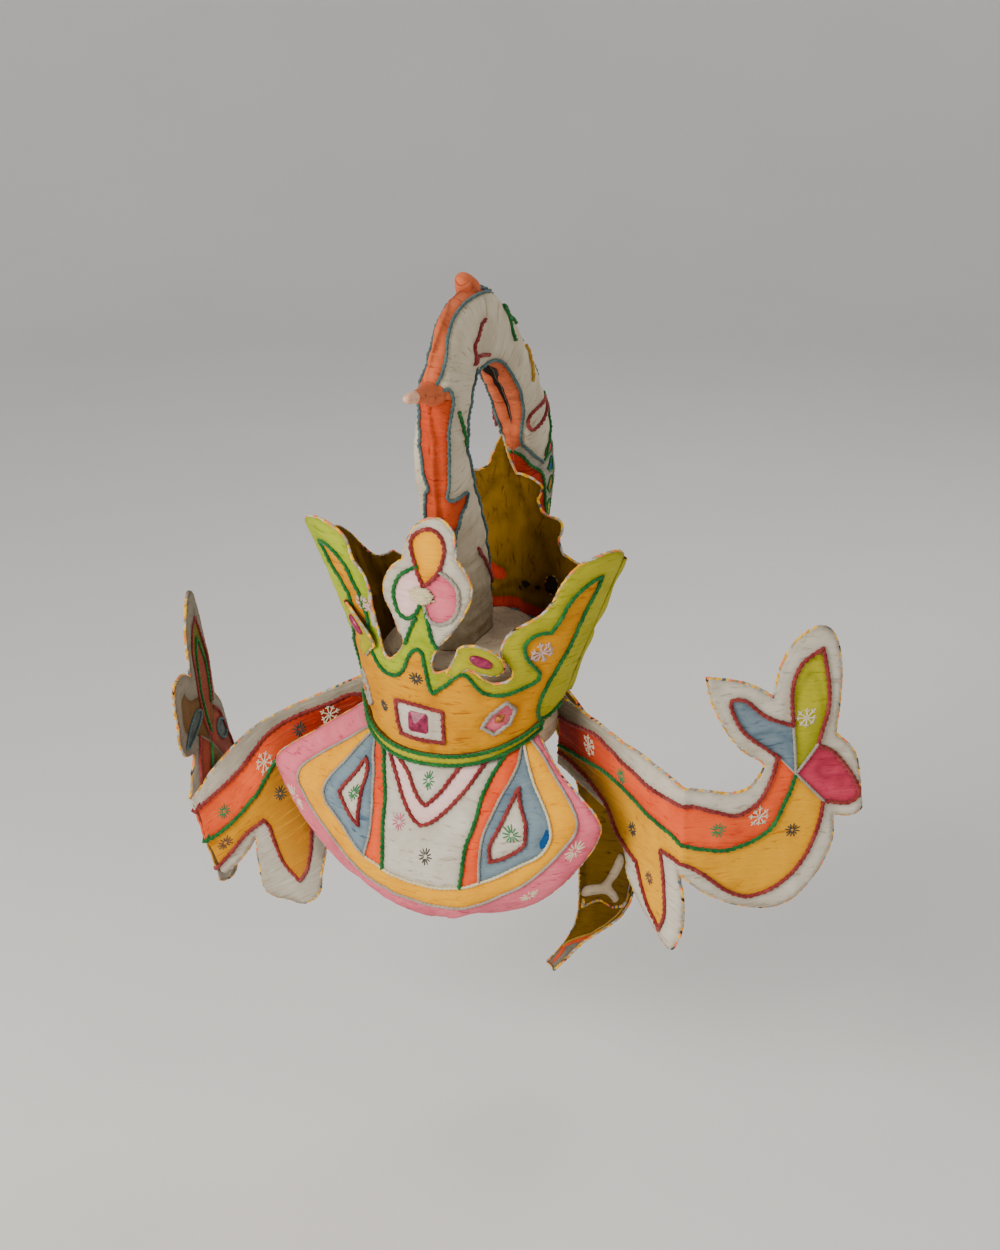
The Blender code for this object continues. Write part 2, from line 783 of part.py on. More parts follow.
def make_square_stone(name, turn, level, size, height, finish):
    """A square cut stone: four slopes, four cut corners and a small table."""
    middle = crown_point(turn, level)
    along = (crown_point(turn + 1e-3, level) - crown_point(turn - 1e-3, level)).normalized()
    up = (crown_point(turn, level + 1e-4) - crown_point(turn, level - 1e-4)).normalized()
    normal = along.cross(up).normalized()
    base = middle + normal * (CARD / 2 + SEAT_GAP)
    cut = STONE_CORNER_SHARE
    flat = [(1, -1 + cut), (1, 1 - cut), (1 - cut, 1), (-1 + cut, 1)]
    flat += [(-x, -y) for x, y in flat]
    points = []
    girdle = height * 0.18
    levels = [(1.0, 0.0), (1.0, girdle), (STONE_TABLE_SHARE, height)]
    for share, rise in levels:
        for x, y in flat:
            spot = base + along * (x * share * size / 2) + up * (y * share * size / 2)
            points.append(spot + normal * rise)
    count = len(flat)
    faces = [tuple(range(count)), tuple(2 * count + k for k in range(count))]
    for ring in range(2):
        for k in range(count):
            after = (k + 1) % count
            low = ring * count
            faces.append((low + k, low + after, low + count + after, low + count + k))
    stone = add_object(name, points, faces, finish)
    stone.data.shade_flat()


def make_stones():
    """The ruby over the brow and an amber stone on each side of it."""
    make_square_stone("square_ruby", RUBY_TURN, RUBY_LEVEL, RUBY_SIDE, RUBY_HEIGHT, "ruby")
    for word, turn in AMBER_TURNS.items():
        make_square_stone("amber_" + word, turn, AMBER_LEVEL, AMBER_SIDE, AMBER_HEIGHT, "amber")


def blend_rows(rows, share):
    """A row part of the way down a table, on a smooth curve through its rows."""
    place = share * (len(rows) - 1)
    i = min(int(place), len(rows) - 2)
    t = place - i
    before, start = rows[max(i - 1, 0)], rows[i]
    end, after = rows[i + 1], rows[min(i + 2, len(rows) - 1)]
    mixed = []
    for a, b, c, d in zip(before, start, end, after):
        mixed.append(
            b
            + 0.5 * t * (c - a)
            + t * t * (a - 2.5 * b + 2 * c - 0.5 * d)
            + t**3 * (1.5 * b - 0.5 * a - 1.5 * c + 0.5 * d)
        )
    return mixed


def bib_top(across):
    """The bib's top edge, which hangs from the crown's lower edge."""
    turn = across * BIB_TOP_TURN
    spot = crown_point(turn, bottom_edge(turn))
    spot.z -= CARD / 2 + SEAT_GAP * 3
    return spot


def bib_row(index, across):
    """A point of one bib section, from -1 at its left edge to 1 at its right edge."""
    drop_mid, drop_side, wide, out_mid, out_side = BIB_SECTIONS[index]
    drop = (drop_mid + (drop_side - drop_mid) * across**2) * BIB_DROP
    out = (out_mid + (out_side - out_mid) * across**2) * BIB_OUT
    return Vector((across * wide * BIB_HALF_WIDTH, -out, -drop))


def bib_point(across, down):
    """A point of the bib: across from -1 to 1, down from 0 at the brow to 1 at its lower edge."""
    rows = [bib_top(across)] + [bib_row(i, across) for i in range(len(BIB_SECTIONS))]
    return Vector(blend_rows([tuple(row) for row in rows], min(max(down, 0.0), 1.0)))


def make_bib():
    """The wide bib that hangs from the brow and rolls under at its lower edge."""
    wide, tall = BIB_HALF_WIDTH, BIB_DROP
    rows = [(-wide, 0.0, True), (wide, 0.0, True), (wide, -tall, True), (-wide, -tall, True)]
    outline = soft_line(rows, OUTLINE_STEP * 1.2, True)
    card(
        "bib", outline, lambda x, y: bib_point(x / wide, -y / tall), "rose_card", grid_x=0.0
    )


def pattern_reach(share):
    """A length along the arm's pattern, from its share of the arm's or of the tail's length."""
    return share * (TAIL_REACH if share > 0 else ARM_LENGTH)


def rib_place(side, rib):
    """Where a rib crosses a level: its length along the pattern, and its place in space."""
    sign = 1 if side == "right" else -1
    reach, out, front, rise, _ = rib
    spot = Vector((sign * out, -front, rise)) * ARM_LENGTH
    return pattern_reach(reach), spot + Vector((sign * ARM_ROOT_X, ARM_ROOT_Y, ARM_ROOT_Z))


def arm_point(side, along, up):
    """A point of an arm, from its place along and up on the flat pattern."""
    ribs = ARM_RIBS[side]
    ends = ribs["low"] if up <= 0 else ribs["high"]
    share = -up / ARM_RIB_DROP if up <= 0 else up / ARM_RIB_RISE
    lines = []
    for mid, end in zip(ribs["mid"][-len(ends) :], ends):
        mid_reach, mid_spot = rib_place(side, mid)
        end_reach, end_spot = rib_place(side, end)
        reach = mid_reach + (end_reach - mid_reach) * share
        lines.append((reach, mid_spot.lerp(end_spot, share), mid[4]))
    last = len(lines) - 2
    k = max([0] + [i for i in range(1, last + 1) if along >= lines[i][0]])
    start, end = lines[k], lines[k + 1]
    chord = end[1] - start[1]
    span = end[0] - start[0]
    t = (along - start[0]) / span
    leave, arrive = chord, chord
    if k > 0 and not start[2]:
        leave = (end[1] - lines[k - 1][1]) * (span / (end[0] - lines[k - 1][0]))
    if k < last and not end[2]:
        arrive = (lines[k + 2][1] - start[1]) * (span / (lines[k + 2][0] - start[0]))
    if t < 0:
        return start[1] + leave * t
    if t > 1:
        return end[1] + arrive * (t - 1)
    return (
        start[1] * (2 * t**3 - 3 * t**2 + 1)
        + leave * (t**3 - 2 * t**2 + t)
        + end[1] * (3 * t**2 - 2 * t**3)
        + arrive * (t**3 - t**2)
    )


def arm_root_reach(side):
    """How far back along its pattern an arm runs before its end meets the head cap."""
    wide, deep = cap_half_size()
    reach = -ARM_LENGTH
    clear = 1.0
    while clear > SEAT_GAP:
        reach -= 0.0002
        faces = [
            lifted(lambda x, y: arm_point(side, x, y), reach, -CARD * 2, half)
            for half in (-CARD / 2, CARD / 2)
        ]
        clear = min(math.hypot(p.x / wide, p.y / deep) - 1 for p in faces) * wide
    return reach


def arm_outline(side):
    """An arm's flat pattern at its real size, with its root cut to meet the head cap."""
    rows = []
    root = arm_root_reach(side)
    for along, up, corner in ARM_PATTERN:
        rise = up * (TAIL_RISE if up > 0 else FIN_DROP)
        rows.append((root if along == -1.0 else pattern_reach(along), rise, corner))
    return soft_line(rows, OUTLINE_STEP, True)


def make_arms():
    """The two fish-tail arms. They share a pattern, and each stands in its own way."""
    for side in ("right", "left"):
        card(
            "arm_" + side,
            arm_outline(side),
            lambda x, y, side=side: arm_point(side, x, y),
            "coral_card",
        )


def arch_station(share):
    """Middle, depth and width of the arch at a share of its way from foot to heel."""
    foot = (ARCH_FOOT_BACK / ARCH_REACH, (CAP_HEIGHT + SEAT_GAP) / ARCH_TOP, 1.02, 1.16)
    wall = crown_depth(math.pi, ARCH_HEEL_UP) + CARD / 2 + SEAT_GAP
    heel = (
        (wall + ARCH_HEEL_DEPTH / 2) / ARCH_REACH,
        ARCH_HEEL_UP / ARCH_TOP,
        ARCH_HEEL_DEPTH / ARCH_FOOT_DEPTH,
        0.76,
    )
    back, up, deep, wide = blend_rows([foot] + ARCH_SECTIONS + [heel], share)
    middle = Vector((0, back * ARCH_REACH, up * ARCH_TOP))
    return middle, deep * ARCH_FOOT_DEPTH, wide * ARCH_WIDTH


def arch_left_share(share):
    """How much of its half width the arch has on the left at a share of its way."""
    return blend_rows([(value,) for value in ARCH_LEFT_SHARES], share)[0]


def arch_out(share):
    """The way out of the arch at a share of its way, square to its run."""
    nudge = 0.004
    run = arch_station(min(1, share + nudge))[0] - arch_station(max(0, share - nudge))[0]
    run.normalize()
    if share < ARCH_FOOT_SHARE:
        run = Vector((0, 0, 1)).lerp(run, share / ARCH_FOOT_SHARE).normalized()
    return run, Vector((0, -run.z, run.y))


def arch_ridge(share):
    """The top of the ridge on the arch's outer face, and the way out there."""
    middle, deep, _ = arch_station(share)
    _, out = arch_out(share)
    return middle + out * deep / 2, out


def make_arch():
    """The padded arch, with a horn, a crest and a barb on its ridge."""
    loop = ARCH_LOOP + [(-x, y) for x, y in reversed(ARCH_LOOP[:-1])]
    count = len(loop)
    points, faces = [], []
    for k in range(ARCH_STATIONS + 1):
        share = k / ARCH_STATIONS
        middle, deep, wide = arch_station(share)
        _, out = arch_out(share)
        left = arch_left_share(share)
        for x, y in loop:
            across = x * (left if x < 0 else 1.0) * wide / 2
            points.append(middle + Vector((across, 0, 0)) + out * (y * deep / 2))
    for k in range(ARCH_STATIONS):
        for i in range(count):
            after = (i + 1) % count
            low = k * count
            faces.append((low + i, low + after, low + count + after, low + count + i))
    faces.append(tuple(range(count)))
    faces.append(tuple(ARCH_STATIONS * count + i for i in range(count)))
    arch = add_object("padded_arch", points, faces, "white_cloth")
    for name, share, length, radius, blunt, lean in SPIKES:
        spike = make_spike(name, share, length, radius, blunt, lean)
        join = arch.modifiers.new(name, "BOOLEAN")
        join.operation = "UNION"
        join.object = spike


def make_spike(name, share, length, radius, blunt, lean):
    """A cone of stuffed cloth on the ridge, sunk into it, with a blunt tip."""
    foot, out = arch_ridge(share)
    out = (out - arch_out(share)[0] * lean).normalized()
    sides = 10
    sunk = radius * 1.4
    across = Vector((1, 0, 0))
    run = out.cross(across).normalized()
    points, faces = [], []
    for rise, size in ((-sunk, 1.15), (0.0, 1.0), (length * 0.55, 0.62), (length, blunt)):
        for k in range(sides):
            turn = 2 * math.pi * k / sides
            spot = foot + out * rise
            spot += (across * math.cos(turn) + run * math.sin(turn)) * radius * size
            points.append(spot)
    for ring in range(3):
        for k in range(sides):
            after = (k + 1) % sides
            low = ring * sides
            faces.append((low + k, low + after, low + sides + after, low + sides + k))
    faces.append(tuple(range(sides)))
    faces.append(tuple(3 * sides + k for k in range(sides)))
    spike = add_object(name + "_cutter", points, faces, "coral_card")
    spike.hide_render = True
    spike.display_type = "WIRE"
    return spike


def rear_tail_top(turn):
    """Where the rear tail hangs from the crown back's lower edge."""
    spot = crown_point(turn, rear_bottom(math.pi - turn))
    spot.z -= CARD / 2 + SEAT_GAP * 3
    return spot


def rear_tail_point(across, down):
    """A point of the rear tail: across from 0 at its near edge to 1, down from 0 to 1."""
    near = [tuple(rear_tail_top(REAR_TAIL_NEAR_TURN))]
    far = [tuple(rear_tail_top(REAR_TAIL_FAR_TURN))]
    for row in REAR_TAIL_RAILS:
        near.append((row[0] * REAR_TAIL_SIDE, row[1] * REAR_TAIL_OUT, -row[2] * REAR_TAIL_DROP))
        far.append((row[3] * REAR_TAIL_SIDE, row[4] * REAR_TAIL_OUT, -row[5] * REAR_TAIL_DROP))
    down = min(max(down, 0.0), 1.0)
    start, end = Vector(blend_rows(near, down)), Vector(blend_rows(far, down))
    bow = 4 * across * (1 - across) * (end - start).length * REAR_TAIL_BOW
    return start.lerp(end, across) + Vector(REAR_TAIL_BOW_WAY) * bow


def make_rear_tail():
    """The tail that hangs behind the head and swings forward, and the facing on its inside."""
    wide, tall = REAR_TAIL_SIDE * 0.45, REAR_TAIL_DROP

    def tail(x, y):
        return rear_tail_point(x / wide, -y / tall)

    rows = [(0.0, 0.0, True), (wide, 0.0, True), (wide, -tall, True), (0.0, -tall, True)]
    card("rear_tail", soft_line(rows, OUTLINE_STEP * 1.2, True), tail, "coral_card")
    inset = wide * 0.06
    low = -tall * FACING_SHARE
    rows = [(inset, -tall * 0.05, True), (wide - inset, -tall * 0.05, True)]
    rows += [(wide - inset, low, True), (wide * 0.66, low * 1.04, False)]
    rows += [(wide * 0.36, low * 0.93, False), (inset, low * 1.08, True)]
    stand = (CARD + FACING_THICK) / 2 + SEAT_GAP * 2
    card(
        "rear_tail_facing",
        soft_line(rows, OUTLINE_STEP, True),
        lambda x, y: lifted(tail, x, y, stand),
        "olive_card",
        thick=FACING_THICK,
    )


clear_scene()
make_head_cap()
make_crown_front()
make_crown_back()
make_brow_band()
make_leaves()
make_stones()
make_bib()
make_arms()
make_arch()
make_rear_tail()
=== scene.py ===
# %% [markdown]
# A carnival headdress, made piece by piece in Blender.
# The real object is card and wire covered with painted cotton: a crown with a trefoil and two
# wings, a stuffed arch over it, a bib under the brow, two fish-tail arms and a tail at the back.
# Woollen cords are couched along every change of colour, and each edge is bound with scraps.
# The file is read from top to bottom: first the frame, then the finishes, then piece by piece.

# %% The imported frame
import json
import math

import bmesh
import bpy
import numpy as np
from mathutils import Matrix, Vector, noise
from mathutils.geometry import delaunay_2d_cdt
from mathutils.kdtree import KDTree

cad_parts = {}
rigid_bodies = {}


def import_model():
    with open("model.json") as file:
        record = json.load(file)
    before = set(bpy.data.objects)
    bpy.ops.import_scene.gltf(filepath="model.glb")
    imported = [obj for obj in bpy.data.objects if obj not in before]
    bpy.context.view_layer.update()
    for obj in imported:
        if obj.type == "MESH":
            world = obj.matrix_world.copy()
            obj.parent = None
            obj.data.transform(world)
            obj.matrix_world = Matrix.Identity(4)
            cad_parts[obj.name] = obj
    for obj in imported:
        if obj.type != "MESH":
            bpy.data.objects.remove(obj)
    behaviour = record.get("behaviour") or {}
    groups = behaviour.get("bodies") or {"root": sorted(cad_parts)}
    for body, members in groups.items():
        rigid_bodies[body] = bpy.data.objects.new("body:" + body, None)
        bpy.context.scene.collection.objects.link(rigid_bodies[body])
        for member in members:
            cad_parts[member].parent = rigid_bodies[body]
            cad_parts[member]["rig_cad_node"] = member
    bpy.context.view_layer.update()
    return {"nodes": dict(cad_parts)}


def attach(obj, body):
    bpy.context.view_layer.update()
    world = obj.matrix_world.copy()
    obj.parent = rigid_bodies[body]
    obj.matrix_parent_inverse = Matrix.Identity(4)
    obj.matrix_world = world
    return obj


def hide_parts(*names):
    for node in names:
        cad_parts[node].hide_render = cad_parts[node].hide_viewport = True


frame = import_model()
print("solids in the frame:", len(frame["nodes"]))

# %% [markdown]
# Every colour on the object is a thin wash of paint or dye on cotton, so one table of colours
# serves all the finishes. Colours are noted the way a screen shows them, from 0 to 255, because
# that is easy to read off a swatch. Blender's shaders work in linear light, so each one is
# converted once, here, and not by eye in every material.

# %% A table of colours
TONES = {
    # name: the colour itself, a paler one and a deeper one
    "ochre": ((222, 152, 4), (238, 182, 46), (180, 106, 2)),
    "leaf green": ((182, 176, 40), (206, 202, 88), (130, 132, 14)),
    "lime": ((168, 182, 40), (194, 204, 80), (124, 144, 18)),
    "white": ((210, 203, 187), (226, 219, 204), (164, 152, 130)),
    "rose": ((230, 114, 130), (240, 154, 160), (184, 62, 90)),
    "shell": ((244, 208, 202), (250, 226, 218), (222, 172, 170)),
    "saffron": ((238, 170, 24), (246, 190, 64), (198, 124, 8)),
    "calico": ((204, 192, 168), (220, 212, 194), (156, 140, 112)),
    "blush": ((240, 190, 160), (248, 212, 190), (212, 140, 104)),
    "ember": ((206, 78, 38), (224, 110, 66), (160, 44, 22)),
    # The four dull colours are darkened copies of brighter ones, partly their own colour and partly
    # painted shade.
    "dull green": ((110, 104, 26), (134, 128, 52), (74, 70, 12)),
    "dull red": ((142, 66, 48), (166, 92, 70), (96, 36, 26)),
    "dull brown": ((112, 82, 46), (140, 110, 72), (74, 50, 24)),
    "dull grey": ((138, 130, 116), (158, 150, 138), (98, 90, 78)),
    "slate": ((84, 92, 92), (112, 120, 118), (52, 58, 60)),
    "yellow": ((250, 176, 8), (254, 196, 50), (214, 128, 4)),
    "sky": ((122, 142, 152), (162, 174, 178), (72, 94, 112)),
    "deep sky": ((20, 88, 148), (48, 116, 172), (10, 56, 104)),
    "cherry": ((208, 66, 92), (224, 96, 116), (150, 34, 58)),
    "coral": ((246, 96, 46), (252, 128, 74), (200, 50, 18)),
    "peach": ((212, 108, 66), (222, 138, 96), (160, 64, 34)),
    "brick": ((190, 56, 36), (212, 84, 56), (132, 28, 18)),
    "mustard": ((186, 124, 34), (208, 148, 56), (122, 74, 18)),
    "olive": ((126, 92, 0), (150, 114, 8), (74, 50, 0)),
    "linen": ((172, 166, 152), (194, 189, 176), (126, 118, 102)),
    "felt": ((226, 204, 172), (238, 222, 196), (154, 132, 106)),
    # The hollow colour paints the holes and the slit dark, a painted shade, and also the dark of the
    # arch's eye.
    "hollow": ((40, 30, 18), (58, 44, 26), (22, 16, 10)),
    "cord green": ((12, 82, 36), (52, 130, 62)),
    "cord crimson": ((112, 24, 30), (164, 76, 70)),
    "cord grey": ((140, 132, 118), (184, 178, 164)),
    "cord teal": ((52, 78, 80), (98, 124, 122)),
    "cord cream": ((206, 190, 142), (228, 218, 184)),
    "cord mustard": ((168, 124, 30), (206, 166, 74)),
    "thread green": ((40, 136, 74),),
    "thread dark": ((52, 48, 34),),
    "thread pink": ((214, 108, 136),),
    "thread beige": ((214, 178, 164),),
    "thread cream": ((226, 214, 184),),
    "thread brown": ((112, 68, 30),),
}
SWATCHES = {}
for name, tones in TONES.items():
    for ending, tone in zip(("", " pale", " deep"), tones):
        SWATCHES[name + ending] = tone


def paint(name):
    """A colour from the table in linear light, with its alpha."""
    channels = []
    for value in SWATCHES[name]:
        share = value / 255
        low = share / 12.92
        high = ((share + 0.055) / 1.055) ** 2.4
        channels.append(low if share <= 0.04045 else high)
    return (*channels, 1.0)


print("colours:", len(SWATCHES))

# %% [markdown]
# A material is a small graph of nodes. Short helpers keep those graphs readable: one starts a
# material, one adds a node with its settings and inputs, and each of the others makes one kind of
# node that is needed often, such as a mix of two colours or a bump.
# Two measures travel with each mesh as attributes. "pattern" is a point's place on the flat
# cloth before it was bent, in metres, so brush strokes and weave follow the cloth. The other
# is 1 beside a cord or an edge and falls to 0 away from it; the finishes darken the cloth there,
# partly as grime and partly as painted shade where the cloth meets the cords and edges.

# %% Helpers for materials
def fill_inputs(tree, node, inputs):
    """Fill a node's inputs. Each value is a constant or another node's output."""
    for key, value in inputs.items():
        if isinstance(value, bpy.types.NodeSocket):
            tree.links.new(value, node.inputs[key])
        else:
            node.inputs[key].default_value = value


def start_finish(name):
    """A new material with its node tree and its main shader."""
    finish = bpy.data.materials.new(name)
    finish.use_nodes = True
    tree = finish.node_tree
    return finish, tree, tree.nodes["Principled BSDF"]


def add_node(tree, kind, inputs=None, **settings):
    """A node of one kind, with its settings made and its inputs filled in."""
    node = tree.nodes.new("ShaderNode" + kind)
    for key, value in settings.items():
        setattr(node, key, value)
    fill_inputs(tree, node, inputs or {})
    return node


def mix_colours(tree, factor, low, high):
    """The colour between two others. Each may be a plain colour or another node's output."""
    return add_node(tree, "Mix", {0: factor, 6: low, 7: high}, data_type="RGBA").outputs[2]


def soft_step(tree, value, low, high, top=1.0):
    """0 below one level of a value, top above another, and a smooth rise between them."""
    inputs = {"Value": value, "From Min": low, "From Max": high, "To Max": top}
    return add_node(tree, "MapRange", inputs, interpolation_type="SMOOTHSTEP").outputs["Result"]


def cloud(tree, place, scale, detail=3.0, roughness=0.55, distortion=0.0):
    """Noise over a place, as a value from 0 to 1."""
    inputs = {"Vector": place, "Scale": scale, "Detail": detail, "Roughness": roughness}
    return add_node(tree, "TexNoise", inputs | {"Distortion": distortion}).outputs["Fac"]


def stretched(tree, place, scale):
    """A place multiplied along its three directions."""
    return add_node(tree, "Mapping", {"Vector": place, "Scale": scale}).outputs["Vector"]


def calculate(tree, operation, *values):
    """The result of one operation on some values."""
    return add_node(tree, "Math", dict(enumerate(values)), operation=operation).outputs[0]


def bump(tree, height, strength, distance, **under):
    """A surface tilted by a height. It may start from another bump, given as Normal."""
    inputs = {"Height": height, "Strength": strength, "Distance": distance}
    return add_node(tree, "Bump", inputs | under).outputs["Normal"]


def cloth_and_solid(tree):
    """A point's place on the flat cloth, and its place on the object."""
    flat = add_node(tree, "Attribute", attribute_name="pattern").outputs["Vector"]
    return flat, add_node(tree, "TexCoord").outputs["Object"]


# %% [markdown]
# Painted cotton shows four things at once: a wash of colour that pools unevenly, long dry brush
# strokes, a plain weave of threads under a millimetre wide, and small puckers where the glue
# pulled the cloth. Each is a noise or a wave at its own size. The first two change the colour,
# the last two tilt the surface with bump, and the valleys of the puckers are painted darker, a
# painted shade. The darkening beside the cords, partly grime and partly painted shade, ties it all
# together.

# %% A finish for painted cotton
THREAD = 0.0008
PUCKER = 0.0016
STREAK_LENGTH = 0.045
STREAK_WIDTH = 0.0035
SHADE_AND_SOIL = 1.1


def painted_cotton(name, colour, fade=None):
    """Cotton washed with one colour. fade names a second colour and where it gives way; on the arms it
    is mostly painted shade.
    """
    finish, tree, shader = start_finish(name)
    flat, solid = cloth_and_solid(tree)
    body, pale, deep = paint(colour), paint(colour + " pale"), paint(colour + " deep")
    wash = cloud(tree, solid, 22.0, 4.0, 0.6)
    strokes_place = stretched(tree, flat, (1 / STREAK_LENGTH, 1 / STREAK_WIDTH, 1.0))
    strokes = cloud(tree, strokes_place, 1.0, 5.0, 0.65, 0.6)
    hairs_place = stretched(tree, flat, (1 / STREAK_LENGTH, 6 / STREAK_WIDTH, 1.0))
    hairs = cloud(tree, hairs_place, 1.0, 3.0, 0.7, 0.3)
    puckers = cloud(tree, stretched(tree, flat, (48.0, 260.0, 1.0)), 1.0, 4.0, 0.6, 0.8)
    # On the arms the second colour is mostly painted shade towards the root.
    if fade:
        along = add_node(tree, "SeparateXYZ", {0: flat}).outputs["X"]
        body = mix_colours(tree, soft_step(tree, along, fade[1], fade[2]), paint(fade[0]), body)
    body = mix_colours(tree, soft_step(tree, wash, 0.42, 0.72, 0.45), body, deep)
    body = mix_colours(tree, soft_step(tree, strokes, 0.5, 0.8, 0.45), body, pale)
    body = mix_colours(tree, soft_step(tree, hairs, 0.52, 0.75, 0.3), body, deep)
    # Painted shade: the valleys of the puckers are darker.
    body = mix_colours(tree, soft_step(tree, puckers, 0.3, 0.44), deep, body)
    # Partly grime and partly painted shade: darker beside cords and edges, unevenly.
    shade_grime = add_node(tree, "Attribute", attribute_name="near_cord").outputs["Fac"]
    uneven = calculate(tree, "MULTIPLY", shade_grime, cloud(tree, solid, 90.0, 3.0, 0.6))
    body = mix_colours(tree, calculate(tree, "MULTIPLY", uneven, SHADE_AND_SOIL), body, deep)
    threads = []
    for way in ("X", "Y"):
        inputs = {"Vector": flat, "Scale": math.pi / 10 / THREAD, "Distortion": 1.2}
        inputs |= {"Detail": 1.0, "Detail Scale": 0.6}
        wave = add_node(tree, "TexWave", inputs, wave_type="BANDS", bands_direction=way)
        threads.append(wave.outputs["Fac"])
    weave = bump(tree, calculate(tree, "MAXIMUM", *threads), 0.35, THREAD / 4)
    rough = add_node(tree, "MapRange", {"Value": wash, "To Min": 0.72, "To Max": 0.9})
    fill_inputs(tree, shader, {
        "Base Color": body,
        "Normal": bump(tree, puckers, 0.8, PUCKER, Normal=weave),
        "Roughness": rough.outputs["Result"],
        "Sheen Weight": 0.03,
        "Sheen Roughness": 0.5,
        "Specular IOR Level": 0.12,
    })
    return finish


COTTON = {}
for colour in (
    "ochre", "leaf green", "white", "rose", "shell", "yellow", "sky", "coral", "brick", "mustard",
    "olive", "linen", "felt", "hollow", "deep sky", "cherry", "peach", "lime",
    "calico", "blush", "ember", "dull green", "dull red", "dull brown", "dull grey", "slate",
):
    COTTON[colour] = painted_cotton("cotton " + colour, colour)
print("cotton finishes:", ", ".join(COTTON))

# %% [markdown]
# The cords are thick soft wool, the kind that sheds fibres. Up close a strand is lighter where
# its fibres stand up and darker in the valley between its plies. A painted highlight and shade
# stand in for that: the colour follows a fine noise along the strand, from the cord's colour to a
# paler one, and a strong sheen gives the pale halo that wool has at its outline.

# %% A finish for woollen cord
def wool(name, colour):
    """Twisted wool in one colour."""
    finish, tree, shader = start_finish(name)
    flat, solid = cloth_and_solid(tree)
    fibres = cloud(tree, solid, 900.0, 4.0, 0.7)
    both = calculate(tree, "MULTIPLY_ADD", cloud(tree, flat, 60.0, 2.0), 0.5, fibres)
    # Painted highlight and shade along the strand.
    shade = soft_step(tree, both, 0.55, 1.0)
    fill_inputs(tree, shader, {
        "Base Color": mix_colours(tree, shade, paint(colour), paint(colour + " pale")),
        "Normal": bump(tree, fibres, 0.9, 0.0006),
        "Roughness": 0.95,
        "Sheen Weight": 0.25,
        "Sheen Roughness": 0.4,
        "Specular IOR Level": 0.1,
    })
    return finish


WOOL = {}
for colour in ("green", "crimson", "grey", "teal", "cream", "mustard"):
    WOOL[colour] = wool("wool " + colour, "cord " + colour)
print("wool finishes:", ", ".join(WOOL))

# %% [markdown]
# Every edge is wrapped with a narrow strip torn from printed scraps, so its colour jumps every
# centimetre or so, on a slant, as the strip goes round. A one-dimensional Voronoi texture makes
# such jumps: it cuts a line into cells and gives each its own random number. The line used here
# is the distance along the edge plus a little of the way round it, which makes the slant.

# %% A finish for the bound edges
EDGE_SCRAPS = [
    # colour, share of the edge from which it is used
    ("yellow pale", 0.0), ("linen pale", 0.2), ("coral pale", 0.38), ("white deep", 0.5),
    ("ochre", 0.62), ("sky deep", 0.8), ("felt deep", 0.84), ("hollow pale", 0.95),
]


def bound_scraps(name):
    """A wrapped strip of printed scraps."""
    finish, tree, shader = start_finish(name)
    flat, solid = cloth_and_solid(tree)
    split = add_node(tree, "SeparateXYZ", {0: flat})
    slant = calculate(tree, "MULTIPLY_ADD", split.outputs["Y"], 0.6, split.outputs["X"])
    inputs = {"W": slant, "Scale": 260.0}
    cells = add_node(tree, "TexVoronoi", inputs, voronoi_dimensions="1D")
    pick = add_node(tree, "SeparateColor", {0: cells.outputs["Color"]})
    scraps = add_node(tree, "ValToRGB", {0: pick.outputs[0]})
    ramp = scraps.color_ramp
    ramp.interpolation = "CONSTANT"
    while len(ramp.elements) < len(EDGE_SCRAPS):
        ramp.elements.new(1.0)
    for element, (colour, start) in zip(ramp.elements, EDGE_SCRAPS):
        element.position = start
        element.color = paint(colour)
    worn = soft_step(tree, cloud(tree, solid, 260.0, 4.0, 0.65), 0.48, 0.72)
    fill_inputs(tree, shader, {
        "Base Color": mix_colours(tree, worn, scraps.outputs[0], paint("linen deep")),
        "Normal": bump(tree, cloud(tree, solid, 500.0, 3.0, 0.6), 0.8, 0.0006),
        "Roughness": 0.85,
        "Specular IOR Level": 0.2,
    })
    return finish


EDGING = bound_scraps("bound scraps")
print("edge scraps:", len(EDGE_SCRAPS))

# %% [markdown]
# Stars and snowflakes are stitched with a few strands of thread. Thread is smoother than wool, so
# its finish is a plain colour that changes slightly along the stitch, with a fine ribbed bump.

# %% A finish for stitched thread
def thread(name, colour):
    """Embroidery thread in one colour."""
    finish, tree, shader = start_finish(name)
    twist = cloud(tree, add_node(tree, "TexCoord").outputs["Object"], 1400.0, 2.0)
    dark = (*(channel * 0.55 for channel in paint(colour)[:3]), 1.0)
    fill_inputs(tree, shader, {
        "Base Color": mix_colours(tree, soft_step(tree, twist, 0.35, 0.6), dark, paint(colour)),
        "Normal": bump(tree, twist, 0.5, 0.0003),
        "Roughness": 0.7,
        "Sheen Weight": 0.3,
    })
    return finish


THREADS = {}
for colour in ("green", "dark", "pink", "beige", "cream", "brown"):
    THREADS[colour] = thread("thread " + colour, "thread " + colour)
print("threads:", ", ".join(THREADS))

# %% [markdown]
# Most pieces begin as a flat pattern, as they do in a workshop: an outline cut from a sheet, with
# areas of colour drawn on it. Tables give each outline as a few points, and a smooth line is run
# through them, turning sharply only where the table says there is a corner. Hermite curves do
# this well, because their direction at each point can be chosen.

# %% Smooth lines from short tables
CORD_STEP = 0.0013
AREA_STEP = 0.002


def hermite(start, leave, arrive, end, t):
    """A point on the smooth curve that leaves one point and arrives at another."""
    return (
        start * (2 * t**3 - 3 * t**2 + 1)
        + leave * (t**3 - 2 * t**2 + t)
        + end * (3 * t**2 - 2 * t**3)
        + arrive * (t**3 - t**2)
    )


